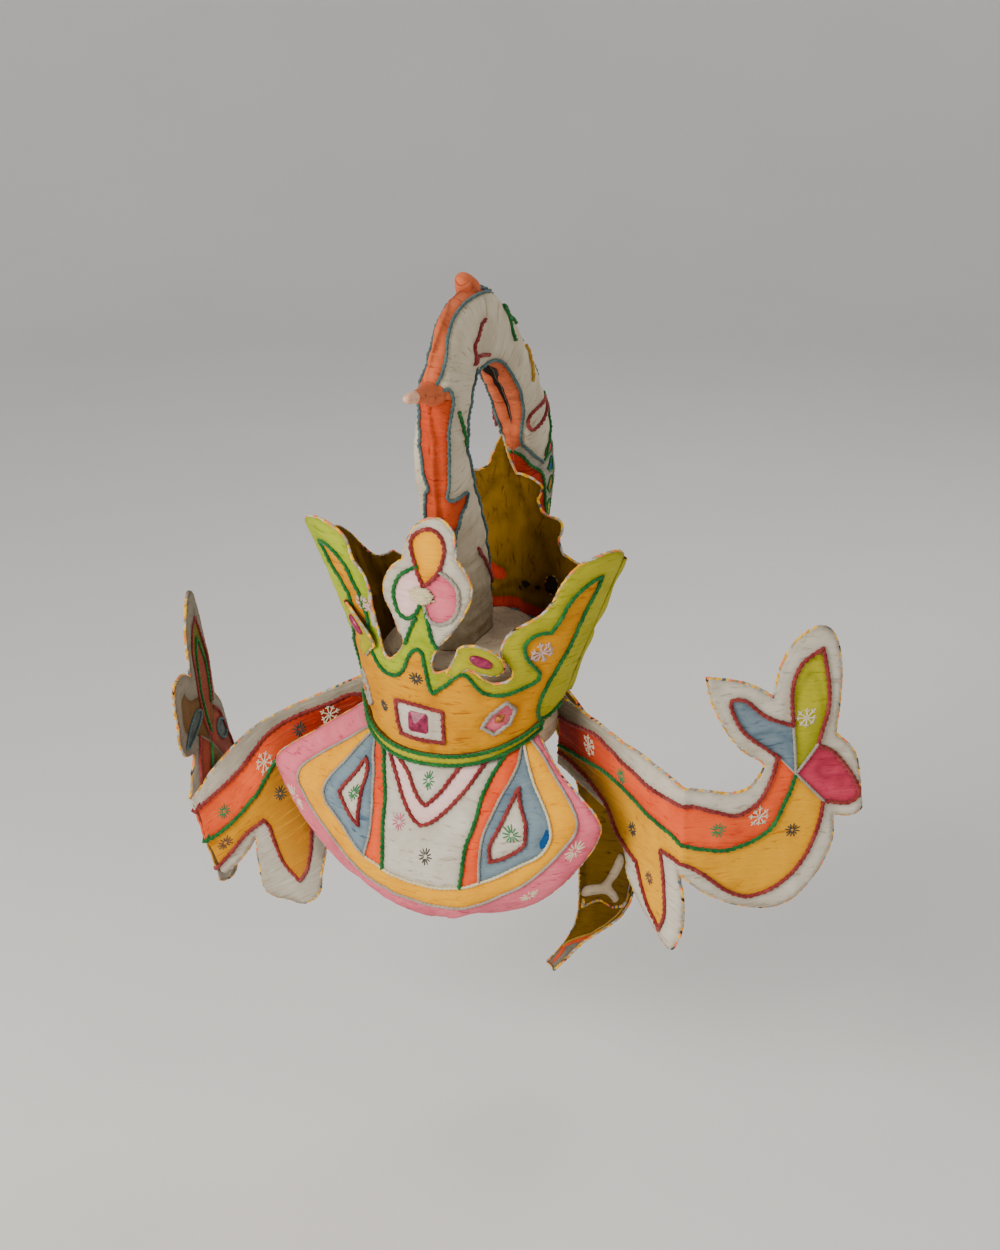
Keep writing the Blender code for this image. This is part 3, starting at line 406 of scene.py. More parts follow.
def soft_line(rows, step, closed):
    """Points on a smooth line through the rows, which turns sharply only at corners."""
    count = len(rows)
    spots = [Vector(row[:2]) for row in rows]
    corners = [len(row) > 2 and row[2] for row in rows]
    points = []
    for i in range(count if closed else count - 1):
        start, end = spots[i], spots[(i + 1) % count]
        chord = end - start
        leave = chord if corners[i] else (end - spots[i - 1]) / 2
        ahead = spots[(i + 2) % count]
        arrive = chord if corners[(i + 1) % count] else (ahead - start) / 2
        if not closed and i == 0:
            leave = chord
        if not closed and i == count - 2:
            arrive = chord
        steps = max(1, round(chord.length / step))
        points += [hermite(start, leave, arrive, end, k / steps) for k in range(steps)]
    if not closed:
        points.append(spots[-1])
    return points


def in_metres(rows):
    """A table in millimetres, turned into metres."""
    return [(row[0] / 1000, row[1] / 1000, *row[2:]) for row in rows]


def loop_of(rows, step=AREA_STEP):
    """A closed line from a table in millimetres."""
    return soft_line(in_metres(rows), step, True)


def line_of(rows, step=CORD_STEP):
    """An open line from a table in millimetres."""
    return soft_line(in_metres(rows), step, False)


def opened(*tables):
    """Lines for open cords, from tables in millimetres."""
    return [(line_of(rows), False) for rows in tables]


def closed(*tables):
    """Lines for cords that end where they began, from tables in millimetres."""
    return [(loop_of(rows, CORD_STEP), True) for rows in tables]


def areas(*pairs):
    """Areas of colour, from pairs of a table in millimetres and a colour of cotton."""
    return [(loop_of(rows), COTTON[colour]) for rows, colour in pairs]


def within(points, loop):
    """Which of many flat points lie within a closed loop."""
    hit = np.zeros(len(points), bool)
    x, y = points[:, 0], points[:, 1]
    for start, end in zip(loop, loop[1:] + loop[:1]):
        if start.y != end.y:
            crosses = (start.y > y) != (end.y > y)
            reach = start.x + (y - start.y) / (end.y - start.y) * (end.x - start.x)
            hit ^= crosses & (x < reach)
    return hit


# %% [markdown]
# The flat pattern is then filled with triangles. A constrained triangulation keeps every drawn
# line as a run of edges, so each area of colour can have its own material right up to its cord,
# with no blurred boundary. Between the lines lies a staggered grid of points, close enough
# together for the cloth to bend and pucker.

# %% Filling a flat pattern with triangles
def line_finder(loops):
    """A tree that finds how far the nearest point of some drawn lines is."""
    lines = KDTree(sum(len(loop) for loop in loops))
    for loop in loops:
        for spot in loop:
            lines.insert((spot.x, spot.y, 0), 0)
    lines.balance()
    return lines


def fill_pattern(outline, loops, step):
    """Points and triangles over an outline, with the loops kept as edges."""
    spots, rings = [], []
    for loop in [outline] + loops:
        first = len(spots)
        spots += [Vector(spot) for spot in loop]
        rings += [(first + i, first + (i + 1) % len(loop)) for i in range(len(loop))]
    lines = line_finder([outline] + loops)
    low_x, high_x = min(p.x for p in outline), max(p.x for p in outline)
    low_y, high_y = min(p.y for p in outline), max(p.y for p in outline)
    grid = []
    for row in range(int((high_y - low_y) / step) + 1):
        shift = step / 2 if row % 2 else 0.0
        for column in range(int((high_x - low_x) / step) + 1):
            grid.append((low_x + shift + column * step, low_y + row * step))
    grid = np.array(grid)
    for x, y in grid[within(grid, outline)]:
        if lines.find((x, y, 0))[2] > step * 0.55:
            spots.append(Vector((x, y)))
    points, _, triangles = delaunay_2d_cdt(spots, rings, [], 0, 1e-6)[:3]
    flat = np.array([tuple(p) for p in points])
    triangles = np.array([tuple(t) for t in triangles])
    return flat, triangles[within(flat[triangles].mean(axis=1), outline)]


def paint_areas(middles, patches, finishes, chosen):
    """Choose a finish for the triangles within each patch, the later over the earlier."""
    for loop, finish in patches:
        if finish not in finishes:
            finishes.append(finish)
        chosen[within(middles, list(loop))] = finishes.index(finish)


def ring_faces(rings, sides, first=0, closed=False):
    """Four-sided faces between neighbouring rings of points."""
    faces = []
    for ring in range(rings if closed else rings - 1):
        low = first + ring * sides
        high = first + (ring + 1) % rings * sides
        for k in range(sides):
            after = (k + 1) % sides
            faces.append((low + k, low + after, high + after, high + k))
    return faces


# %% [markdown]
# A piece of the headdress is held in space by a "place" function. It takes a spot on the flat
# pattern and a lift off the cloth, and answers where that is in the room. The sheet, its cords,
# its edge and its stitches all ask the same function, so they can't drift apart. It is made from
# the piece's smooth surface plus a ripple, which is how far the old cloth has warped there.

# %% Laying a pattern on a surface
def place_on(surface, ripple):
    """The place function of a piece: a smooth surface, warped by a ripple."""

    def place(x, y, lift=0.0):
        nudge = 3e-4
        along = surface(x + nudge, y) - surface(x - nudge, y)
        up = surface(x, y + nudge) - surface(x, y - nudge)
        return surface(x, y) + along.cross(up).normalized() * (ripple(x, y) + lift)

    return place


def raised(place, base, way=1):
    """A place function counted from another level, or with way -1 from the other side."""
    return lambda x, y, lift=0.0: place(x, y, base + way * lift)


def waves(seed, *sizes):
    """A ripple made of soft noise. Each size is a wavelength along, one across and a height."""

    def ripple(x, y):
        height = 0.0
        for k, (along, across, tall) in enumerate(sizes):
            height += tall * noise.noise(Vector((x / along, y / across, seed + 7.3 * k)))
        return height

    return ripple


def write_mesh(name, points, faces, finishes, indices=None, pattern=None, near=None):
    """A mesh object with its materials and the two measures that the finishes read."""
    mesh = bpy.data.meshes.new(name)
    mesh.from_pydata([tuple(p) for p in points], [], faces)
    for finish in finishes:
        mesh.materials.append(finish)
    if indices is not None:
        mesh.polygons.foreach_set("material_index", indices)
    flat = mesh.attributes.new("pattern", "FLOAT_VECTOR", "POINT")
    if pattern is not None:
        flat.data.foreach_set("vector", np.array(pattern, dtype=np.float32).ravel())
    # The second measure marks where the finishes paint shade and grime.
    close = mesh.attributes.new("near_cord", "FLOAT", "POINT")
    if near is not None:
        close.data.foreach_set("value", np.array(near, dtype=np.float32))
    mesh.shade_smooth()
    obj = bpy.data.objects.new(name, mesh)
    bpy.context.scene.collection.objects.link(obj)
    return obj


# %% [markdown]
# Now the sheet itself: the filled pattern is laid twice, once for the face and once for the
# reverse, and the two are joined round the rim, so the piece has a real thickness like card
# between two layers of cotton. Each area of colour swells a little between its cords, because
# the cords were stitched down tightly and the padding between them was not.

# %% A sheet of covered card
CARD = 0.003
CLOTH_STEP = 0.0032
SWELL_REACH = 0.006
SHADE_AND_GRIME_REACH = 0.004


def lay_sheet(name, outline, place, face, reverse, patches=(), back_patches=(), **options):
    """A sheet of covered card. Patches are (loop, finish) areas, the later over the earlier."""
    thick = options.get("thick", CARD)
    swell = options.get("swell", 0.0006)
    upright = options.get("upright", False)
    loops = [list(loop) for loop, _ in list(patches) + list(back_patches)]
    flat, triangles = fill_pattern(outline, loops, options.get("step", CLOTH_STEP))
    middles = flat[triangles].mean(axis=1)
    finishes = [face, reverse]
    front, back = np.zeros(len(triangles), int), np.ones(len(triangles), int)
    paint_areas(middles, patches, finishes, front)
    paint_areas(middles, back_patches, finishes, back)
    lines = line_finder(loops + [outline])
    gap = np.array([lines.find((x, y, 0))[2] for x, y in flat])
    # Painted shade and grime: 1 beside the drawn lines and the outline, where cords and the bound edge
    # lie, falling to 0 away from them.
    near = np.exp(-((gap / SHADE_AND_GRIME_REACH) ** 2))
    puff = swell * (1 - np.exp(-((gap / SWELL_REACH) ** 2)))
    points, pattern = [], []
    for side in (1, -1):
        for (x, y), rise in zip(flat, puff):
            points.append(place(x, y, side * (thick / 2 + rise)))
            pattern.append((y, x, side * 0.01) if upright else (x, y, side * 0.01))
    shift = len(flat)
    faces = [tuple(t) for t in triangles.tolist()]
    faces += [(shift + c, shift + b, shift + a) for a, b, c in triangles.tolist()]
    indices = list(front) + list(back)
    edges = {}
    for a, b, c in triangles.tolist():
        edges |= {(a, b): True, (b, c): True, (c, a): True}
    for start, end in edges:
        if (end, start) not in edges:
            faces.append((end, start, shift + start, shift + end))
            indices.append(1)
    obj = write_mesh(name, points, faces, finishes, indices, pattern, np.tile(near, 2))
    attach(obj, "root")
    print(name, "has", len(faces), "faces")
    return obj


# %% [markdown]
# A cord is a tube swept along a line on the cloth. Its section isn't round: two plies twist about
# each other, and loose fibres make the outline ragged, so the radius changes with the twist and
# with a seeded random draw. The tube is carried along without spinning by turning its frame just
# enough at each step to follow the line, which is called parallel transport.

# %% Cords and bound edges
TUBE_SIDES = 8
RAGGED = 0.18
PLY_PITCH = 3.4
PLY_DEPTH = 0.26
CORD_SINK = 0.55
WRAP_PITCH = 0.006
EDGE_STEP = 0.0015


def sweep(path, closed, ring_radius, draw):
    """Rings of a tube along a path. ring_radius gives its size at a distance and an angle."""
    count = len(path)
    rings, travelled, distance = [], [], 0.0
    side = None
    for i in range(count):
        ahead = path[(i + 1) % count] if closed or i < count - 1 else path[i]
        behind = path[i - 1] if closed or i > 0 else path[i]
        run = (ahead - behind).normalized()
        if side is None:
            side = run.orthogonal().normalized()
        side = (side - run * side.dot(run)).normalized()
        up = run.cross(side)
        ring = []
        for k in range(TUBE_SIDES):
            angle = 2 * math.pi * k / TUBE_SIDES
            wide = ring_radius(distance, angle) * (1 + draw.uniform(-1, 1) * RAGGED)
            ring.append(path[i] + (side * math.cos(angle) + up * math.sin(angle)) * wide)
        rings.append(ring)
        travelled.append(distance)
        if i < count - 1:
            distance += (path[i + 1] - path[i]).length
    return rings, travelled


def tube_mesh(name, paths, ring_radius, finish, seed):
    """One mesh of tubes along (path, closed) lines, with rounded ends on the open ones."""
    draw = np.random.default_rng(seed)
    points, faces, pattern = [], [], []
    total = 0.0
    for path, closed in paths:
        rings, travelled = sweep(path, closed, ring_radius, draw)
        first, count = len(points), len(rings)
        for ring, distance in zip(rings, travelled):
            for k, spot in enumerate(ring):
                points.append(spot)
                pattern.append((total + distance, k / TUBE_SIDES * 0.01, 0.0))
        faces += ring_faces(count, TUBE_SIDES, first, closed)
        if not closed:
            for ring_at, inward in ((0, 1), (count - 1, -1)):
                middle = sum(rings[ring_at], Vector()) / TUBE_SIDES
                beyond = middle - (path[ring_at + inward] - path[ring_at]) * 0.8
                points.append(beyond)
                pattern.append((total + travelled[ring_at], 0.0, 0.0))
                low = first + ring_at * TUBE_SIDES
                for k in range(TUBE_SIDES):
                    after = (k + 1) % TUBE_SIDES
                    pair = (low + after, low + k) if inward == 1 else (low + k, low + after)
                    faces.append((*pair, len(points) - 1))
        total += travelled[-1]
    obj = write_mesh(name, points, faces, [finish], pattern=pattern)
    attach(obj, "root")
    print(name, "is", round(total, 2), "m long")
    return obj


def pulled_taut(path, outward, reach=4):
    """A cord's path that bridges the hollows of the cloth and still goes over its bumps."""
    taut = []
    for k, (spot, out) in enumerate(zip(path, outward)):
        near = path[max(0, k - reach) : k + reach + 1]
        middle = sum(near, Vector((0, 0, 0))) / len(near)
        taut.append(middle + out * max(0.0, (spot - middle).dot(out)))
    return taut


def couch(name, place, lines, colour, radius=0.0019, seed=1, taut=False):
    """Woollen cord laid along lines of a pattern, as (points, closed), and stitched down."""
    pitch = radius * PLY_PITCH
    rise = CARD / 2 + radius * CORD_SINK

    def ring_radius(distance, angle):
        return radius * (1 + PLY_DEPTH * math.cos(2 * angle - 2 * math.pi * distance / pitch))

    paths = []
    for flat, closed in lines:
        path = [place(p.x, p.y, rise) for p in flat]
        if taut:
            above = [place(p.x, p.y, rise + 0.001) for p in flat]
            path = pulled_taut(path, [(far - spot) * 1000 for far, spot in zip(above, path)])
        paths.append((path, closed))
    return tube_mesh(name, paths, ring_radius, WOOL[colour], seed)


def bind_edge(name, place, outline, closed=True, radius=0.0015, seed=2):
    """The wrapped strip that binds the edge of a sheet."""

    def ring_radius(distance, angle):
        wrap = (distance / WRAP_PITCH + angle / (2 * math.pi)) % 1.0
        return radius * (0.92 + 0.22 * wrap)

    path = [place(p.x, p.y, 0.0) for p in even_line(outline, EDGE_STEP, closed)]
    return tube_mesh(name, [(path, closed)], ring_radius, EDGING, seed)


def even_line(points, step, closed):
    """The same line with its points evenly spaced."""
    spots = list(points) + ([points[0]] if closed else [])
    lengths = [(b - a).length for a, b in zip(spots, spots[1:])]
    reach = np.concatenate([[0.0], np.cumsum(lengths)])
    count = max(3, round(reach[-1] / step))
    wanted = np.linspace(0, reach[-1], count + 1)
    columns = [np.interp(wanted, reach, [p[i] for p in spots]) for i in range(len(spots[0]))]
    line = [Vector(row) for row in zip(*columns)]
    return line[:-1] if closed else line


# %% [markdown]
# The stitched motifs are straight stitches that fan out from a point. A star has plain rays, and
# a snowflake has a short pair of barbs near the end of each ray. A stitch is a thin bump on the
# cloth: highest in the middle, where the thread bows up, and sunk at both ends, where it goes
# through. Small differences in length and angle keep them from looking stamped.

# %% Stitched stars and snowflakes
STITCH_PARTS = 5
BARB_TURN = 0.9


def stitch_motifs(name, place, motifs, colour, snow=False, rays=11, radius=0.0008, seed=3):
    """Motifs of straight stitches, each given as (x, y, size) in metres on the pattern."""
    draw = np.random.default_rng(seed)
    paths = []
    for x, y, size in motifs:
        turn0 = draw.uniform(0, 1)
        for ray in range(rays):
            turn = 2 * math.pi * (ray + turn0 + draw.uniform(-0.12, 0.12)) / rays
            long = size * draw.uniform(0.82, 1.08)
            way = Vector((math.cos(turn), math.sin(turn)))
            stitches = [(way * size * (0.1 if snow else 0.22), way * long)]
            if snow:
                for bend in (BARB_TURN, -BARB_TURN):
                    barb = Vector((math.cos(turn + bend), math.sin(turn + bend)))
                    stitches.append((way * long * 0.66, way * long * 0.66 + barb * size * 0.26))
            for start, end in stitches:
                path = []
                for k in range(STITCH_PARTS + 1):
                    t = k / STITCH_PARTS
                    spot = start.lerp(end, t)
                    rise = CARD / 2 + radius * (0.3 + 1.6 * t * (1 - t) * 2)
                    path.append(place(x + spot.x, y + spot.y, rise))
                paths.append((path, False))
    return tube_mesh(name, paths, lambda distance, angle: radius, THREADS[colour], seed)


# %% [markdown]
# The crown is an oval wall that widens at the sides as it rises. Its flat pattern measures around
# the head at brow level and upwards. The front was cut from one sheet, with a wing at each side
# and a trefoil in the middle, and the tables of its edge are the ones the solid model was cut
# with, so the two agree.

# %% The crown's wall and its edges
CROWN_HALF_WIDTH = 0.092
CROWN_HALF_DEPTH = 0.098
REAR_LEAN = 0.011
SEAM_TURN = math.radians(88)
SEAM_HALF_GAP = math.radians(0.12)
BOTTOM_RISE = 0.052
BOTTOM_POWER = 2.6
WING_TOP = 0.222
LEFT_SEAM_TOP = 0.179
RIGHT_SEAM_TOP = 0.205
TREFOIL_TOP = 0.253
TREFOIL_HALF_WIDTH = 0.0257
REAR_PEAK = 0.276
REAR_BOTTOM = 0.03
OUTLINE_STEP = 0.003

LEFT_WING_EDGE = [
    # round, up, corner
    (-0.885, 0.842), (-0.765, 0.903), (-0.677, 0.95), (-0.584, 0.99), (-0.507, 1.008),
    (-0.422, 1.004), (-0.353, 0.957), (-0.34, 0.872), (-0.308, 0.821), (-0.287, 0.76),
    (-0.289, 0.676), (-0.287, 0.561), (-0.267, 0.475), (-0.223, 0.449), (-0.162, 0.484),
]
TREFOIL_EDGE = [
    # aside, up, corner
    (-0.602, 0.482), (-0.75, 0.534), (-0.885, 0.593), (-1.025, 0.636), (-1.026, 0.683),
    (-0.879, 0.739), (-0.658, 0.786), (-0.423, 0.817, True), (-0.331, 0.875), (-0.19, 0.931),
    (0.012, 0.98), (0.234, 0.998), (0.447, 0.99), (0.615, 0.954), (0.688, 0.904),
    (0.728, 0.846, True), (0.9, 0.81), (1.092, 0.753), (1.136, 0.692), (0.997, 0.62), (0.779, 0.556),
    (0.477, 0.496),
]
RIGHT_WING_EDGE = [
    # round, up, corner
    (0.053, 0.515), (0.048, 0.453), (0.072, 0.432), (0.125, 0.448), (0.174, 0.47), (0.245, 0.46),
    (0.311, 0.428), (0.36, 0.4), (0.419, 0.392), (0.473, 0.405), (0.491, 0.436), (0.452, 0.48),
    (0.405, 0.524), (0.393, 0.582), (0.42, 0.642), (0.485, 0.682), (0.552, 0.724), (0.584, 0.78),
    (0.594, 0.84), (0.621, 0.908), (0.678, 0.96), (0.764, 0.982), (0.876, 0.98), (0.954, 0.95),
]
SIDE_FLARES = {
    # side: spread at the wings' top, power of the rise
    "right": (0.08, 1.25),
    "left": (0.0855, 1.7),
}


def crown_half_width(turn, height):
    """Half width of the crown's oval at a height: it flares most near the top, more on the left."""
    spread, power = SIDE_FLARES["right" if math.sin(turn) >= 0 else "left"]
    return CROWN_HALF_WIDTH + spread * (max(0.0, height) / WING_TOP) ** power


def crown_point(turn, height, out=0.0):
    """A point of the crown's wall. turn runs from the front towards +X, out is off its middle."""
    lean = REAR_LEAN * (height / REAR_PEAK) ** 2 if math.cos(turn) < 0 else 0.0
    wide = crown_half_width(turn, height) + out
    deep = CROWN_HALF_DEPTH - lean * abs(math.cos(turn)) + out
    return Vector((wide * math.sin(turn), -deep * math.cos(turn), height))


def crown_wall(around, height):
    """The crown's wall over its flat pattern."""
    return crown_point(around / CROWN_HALF_WIDTH, height)


def bottom_edge(turn):
    """Height of the crown's lower edge, which rises towards the ears."""
    return BOTTOM_RISE * (abs(turn) / SEAM_TURN) ** BOTTOM_POWER


def lower_edge(first_turn, last_turn, lift):
    """Points along the crown's lower edge, from one turn to another."""
    steps = max(2, round(abs(last_turn - first_turn) * CROWN_HALF_WIDTH / OUTLINE_STEP))
    turns = [first_turn + (last_turn - first_turn) * k / steps for k in range(steps + 1)]
    return [Vector((t * CROWN_HALF_WIDTH, bottom_edge(t) + lift)) for t in turns]


def sized(rows, wide, tall):
    """Rows of an edge table at their real size."""
    return [(row[0] * wide, row[1] * tall, *row[2:]) for row in rows]


def crown_front_outline():
    """The crown front's outline on the flat pattern."""
    seam = SEAM_TURN - SEAM_HALF_GAP
    reach = seam * CROWN_HALF_WIDTH
    rows = [(-reach, LEFT_SEAM_TOP, True)]
    rows += sized(LEFT_WING_EDGE, reach, WING_TOP)
    rows += sized(TREFOIL_EDGE, TREFOIL_HALF_WIDTH, TREFOIL_TOP)
    rows += sized(RIGHT_WING_EDGE, reach, WING_TOP)
    rows.append((reach, RIGHT_SEAM_TOP, True))
    return soft_line(rows, OUTLINE_STEP, False), lower_edge(seam, -seam, 0.0)


crown_top, crown_bottom = crown_front_outline()
crown_outline = crown_top + crown_bottom
print("points on the crown front's outline:", len(crown_outline))

# %% [markdown]
# The ground of the crown front is yellow-green. Over it lies an ochre body whose upper edge runs
# in waves from wing to wing, and the trefoil is white with three petals and a stem. These lines
# were measured off the photograph as places on the flat pattern, in millimetres. The card was
# bent by hand, so the wall is not a true oval: it has soft vertical facets, which a ripple with
# sharp valleys gives.

# %% The crown front
BODY_LINE = [
    # from the left lobe's foot up the left wing, along the brow, and down from the right wing
    (-109, 40, True), (-106.5, 50), (-104, 66), (-95.9, 86), (-81.9, 106), (-71.3, 122), (-64.8, 138),
    (-63.9, 151), (-66.4, 162), (-69.9, 172), (-74.3, 181), (-77.5, 191), (-79.8, 199, True),
    (-70.5, 199), (-62.5, 195), (-56.9, 187), (-53.6, 173), (-50.1, 158), (-48.5, 146), (-48, 134),
    (-52, 118), (-52.4, 104), (-47.8, 94), (-42, 87), (-33.8, 84), (-24.4, 86), (-17.4, 94),
    (-12.7, 106), (-8.1, 115), (-3.4, 118), (0, 114), (2.2, 101), (4.3, 88), (6.5, 79),
    (8.7, 75, True), (13, 80), (19.6, 87), (25, 95), (30.5, 99), (34.8, 96), (40.3, 88), (46.8, 80),
    (55.4, 76), (66.2, 76), (76.8, 79), (86.2, 82), (92.3, 88), (91.3, 95), (83.2, 104), (74.8, 116),
    (71.5, 127), (74.5, 136), (81.8, 140), (88.9, 140), (91.7, 149), (93.5, 161), (95.2, 172),
    (100.7, 182), (108.2, 190), (117.4, 194, True), (116.8, 180), (115.3, 164), (113.7, 147),
    (114, 130), (113.2, 114), (109.6, 98), (104.8, 80), (101.6, 64), (102.1, 50), (106.3, 40, True),
]
RIGHT_LOBE = [(106.3, 40), (117.4, 38), (126.6, 42), (135.5, 47)]
LEFT_LOBE = [(-109, 40), (-120.3, 39), (-128.8, 43), (-136.8, 49)]
TOP_PETAL = [
    (4.2, 242), (8.3, 240), (11.5, 232), (12.6, 220), (11.6, 209), (9.5, 199), (5.3, 190),
    (1.1, 184, True), (-1.1, 193), (-3.1, 203), (-4.1, 213), (-5.1, 223), (-4, 232), (0, 239),
]
LEFT_PETAL = [
    (-2.1, 203), (-7.4, 198), (-12.8, 191), (-16.1, 183), (-18.5, 174), (-18.7, 164), (-17.8, 156),
    (-15.7, 151), (-11.2, 148), (-6.7, 151), (-3.3, 157), (-1.1, 164), (1.1, 176, True),
    (-1.1, 190, True),
]
RIGHT_PETAL = [
    (9.5, 201), (13.8, 198), (18.1, 192), (21.4, 184), (22.5, 175), (22.6, 165), (20.5, 156),
    (17.3, 151), (11.9, 147), (6.5, 149), (3.2, 155), (2.1, 163), (1.1, 176, True), (4.3, 190, True),
]
STEM = [
    (1.1, 166, True), (-3.3, 154), (-7.9, 143), (-11.4, 133), (-16.1, 121, True), (-34.7, 112, True),
    (-9.3, 100, True), (21.7, 108, True), (10.8, 123, True), (7.6, 131), (5.4, 142), (3.2, 154),
]
TREFOIL_GROUND = [
    (-16.1, 121, True), (-45.9, 128, True), (-35.8, 200, True), (-19.2, 262, True), (24.8, 262, True),
    (42.7, 190, True), (32.6, 120, True), (10.9, 117, True), (0, 128, True),
]
RUBY_PLATE = [
    (-28.7, 59, True), (-4.6, 60), (17.2, 57, True), (18.1, 41), (19.9, 24, True), (-2.2, 25),
    (-25, 25, True), (-28.1, 43),
]
AMBER_PLATE = [
    (68.2, 67, True), (78.4, 58, True), (75.7, 44, True), (63.6, 33, True), (51.3, 41, True),
    (57.2, 56, True),
]
LEFT_AMBER_PLATE = [(-row[0] - 18, *row[1:]) for row in AMBER_PLATE[::-1]]
LIME_GROUND = [
    (-150, -10, True), (8, -10, True), (8.7, 75, True), (13, 96, True), (43.5, 130, True),
    (40.9, 290, True), (-55, 290, True), (-82.3, 250, True), (-150, 250, True),
]


CROWN_CREASES = (-0.118, -0.082, -0.05, -0.02, 0.016, 0.052, 0.084, 0.116)
CREASE_DEEP = 0.0011


def crown_ripple(x, y):
    """How far the crown's card has warped off a true oval."""
    facet = 0.0
    for crease in CROWN_CREASES:
        facet -= CREASE_DEEP * math.exp(-abs(x - crease) / 0.006)
    soft = waves(4.0, (0.06, 0.09, 0.0022), (0.017, 0.011, 0.0009), (0.03, 0.0045, 0.0005))
    return facet * min(1.0, max(0.0, (0.15 - y) / 0.04)) + soft(x, y) + 0.0004


crown_place = place_on(crown_wall, crown_ripple)
body_edge = line_of(BODY_LINE, AREA_STEP)
body_loop = body_edge + [Vector((0.101, -0.01)), Vector((-0.101, -0.01))]
crown_areas = areas((LIME_GROUND, "lime"), (TREFOIL_GROUND, "white"), (STEM, "lime"))
crown_areas.append((body_loop, COTTON["ochre"]))
crown_areas += areas(
    (RIGHT_PETAL, "rose"), (LEFT_PETAL, "shell"), (TOP_PETAL, "yellow"), (RUBY_PLATE, "white"),
    (AMBER_PLATE, "rose"), (LEFT_AMBER_PLATE, "rose"),
)
crown_front = lay_sheet(
    "crown_front_cloth", crown_outline, crown_place, COTTON["leaf green"], COTTON["olive"],
    patches=crown_areas,
)
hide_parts("crown_front")

# %% [markdown]
# The cords go on last in a workshop, over the joins between the colours, and so they do here.
# Each colour of wool is one mesh. The amber stone's plate and the right petal have a pale cord,
# unlike the rest.

# %% Cords, stitches and edge of the crown front
green_lines = [(body_edge, False)] + opened(
    RIGHT_LOBE, LEFT_LOBE, LEFT_PETAL[:12], [(-4, 151), (-7, 143), (-10, 133), (-14, 121)],
    [(2, 160), (3, 154), (5, 142), (7, 131), (11, 122)],
)
grey_lines = opened(RIGHT_PETAL[:12]) + closed(AMBER_PLATE, LEFT_AMBER_PLATE)
couch("crown_green_cord", crown_place, green_lines, "green", seed=11)
couch("crown_crimson_cord", crown_place, closed(TOP_PETAL, RUBY_PLATE), "crimson", seed=12)
couch("crown_grey_cord", crown_place, grey_lines, "grey", seed=13)
bind_edge("crown_front_edge", crown_place, crown_top, closed=False, seed=14)
crown_stars = [(-0.006, 0.087, 0.0065), (-0.046, 0.046, 0.006)]
stitch_motifs("crown_dark_stars", crown_place, crown_stars, "dark", seed=15)
crown_flakes = [(0.087, 0.118, 0.011), (-0.048, 0.15, 0.008)]
stitch_motifs(
    "crown_snowflakes", crown_place, crown_flakes, "beige", snow=True, rays=8, radius=0.0011, seed=16
)

# %% [markdown]
# A tuft of pale yarn hides the point where the petals meet. It is one strand wound loosely round
# and round, so it is made as one long tube that wanders over a small dome.

# %% The tuft in the middle of the trefoil
TUFT_PLACE = (0.0005, 0.1745)
TUFT_RADIUS = 0.0078
TUFT_POINTS = 300


def make_tuft():
    """A small round ball of wound yarn."""
    draw = np.random.default_rng(17)
    path = []
    for k in range(TUFT_POINTS):
        turn = k * 0.61 + draw.uniform(-0.2, 0.2)
        lean = 1.5 * math.sin(k * 0.083)
        reach = TUFT_RADIUS * draw.uniform(0.8, 1.08)
        x = reach * math.cos(lean) * math.cos(turn)
        y = reach * math.sin(lean)
        rise = reach * abs(math.cos(lean) * math.sin(turn)) * 0.7
        path.append(crown_place(TUFT_PLACE[0] + x, TUFT_PLACE[1] + y, CARD / 2 + 0.001 + rise))
    tube_mesh("crown_tuft", [(path, False)], lambda distance, angle: 0.001, WOOL["cream"], 17)


make_tuft()

# %% [markdown]
# The crown's back is a taller sheet with a jagged top. Only its inside shows from the front: bare
# olive-gold cotton, glued in vertical pleats, with a crumpled hem where the lining was folded
# over, a coral band above the cap and a torn hole on the right. Its outside can't be seen in the
# photograph, so it is finished here in the same way as the crown's front.

# %% The crown's back
REAR_EDGE = [
    # round, up, corner
    (-0.926, 0.655), (-0.843, 0.618), (-0.754, 0.53), (-0.679, 0.522), (-0.614, 0.532, True),
    (-0.575, 0.512), (-0.491, 0.497), (-0.384, 0.54), (-0.297, 0.64), (-0.235, 0.77), (-0.198, 0.86),
    (-0.17, 0.91, True), (-0.158, 0.862), (-0.091, 0.851, True), (-0.049, 0.88), (-0.027, 0.935),
    (0.0, 1.0, True), (0.023, 0.92), (0.048, 0.85, True), (0.11, 0.845), (0.16, 0.82),
    (0.148, 0.772, True), (0.175, 0.725), (0.245, 0.705), (0.28, 0.672), (0.268, 0.635, True),
    (0.323, 0.595), (0.464, 0.55), (0.581, 0.512, True), (0.641, 0.522), (0.72, 0.525, True),
    (0.775, 0.56), (0.846, 0.62), (0.933, 0.7),
]

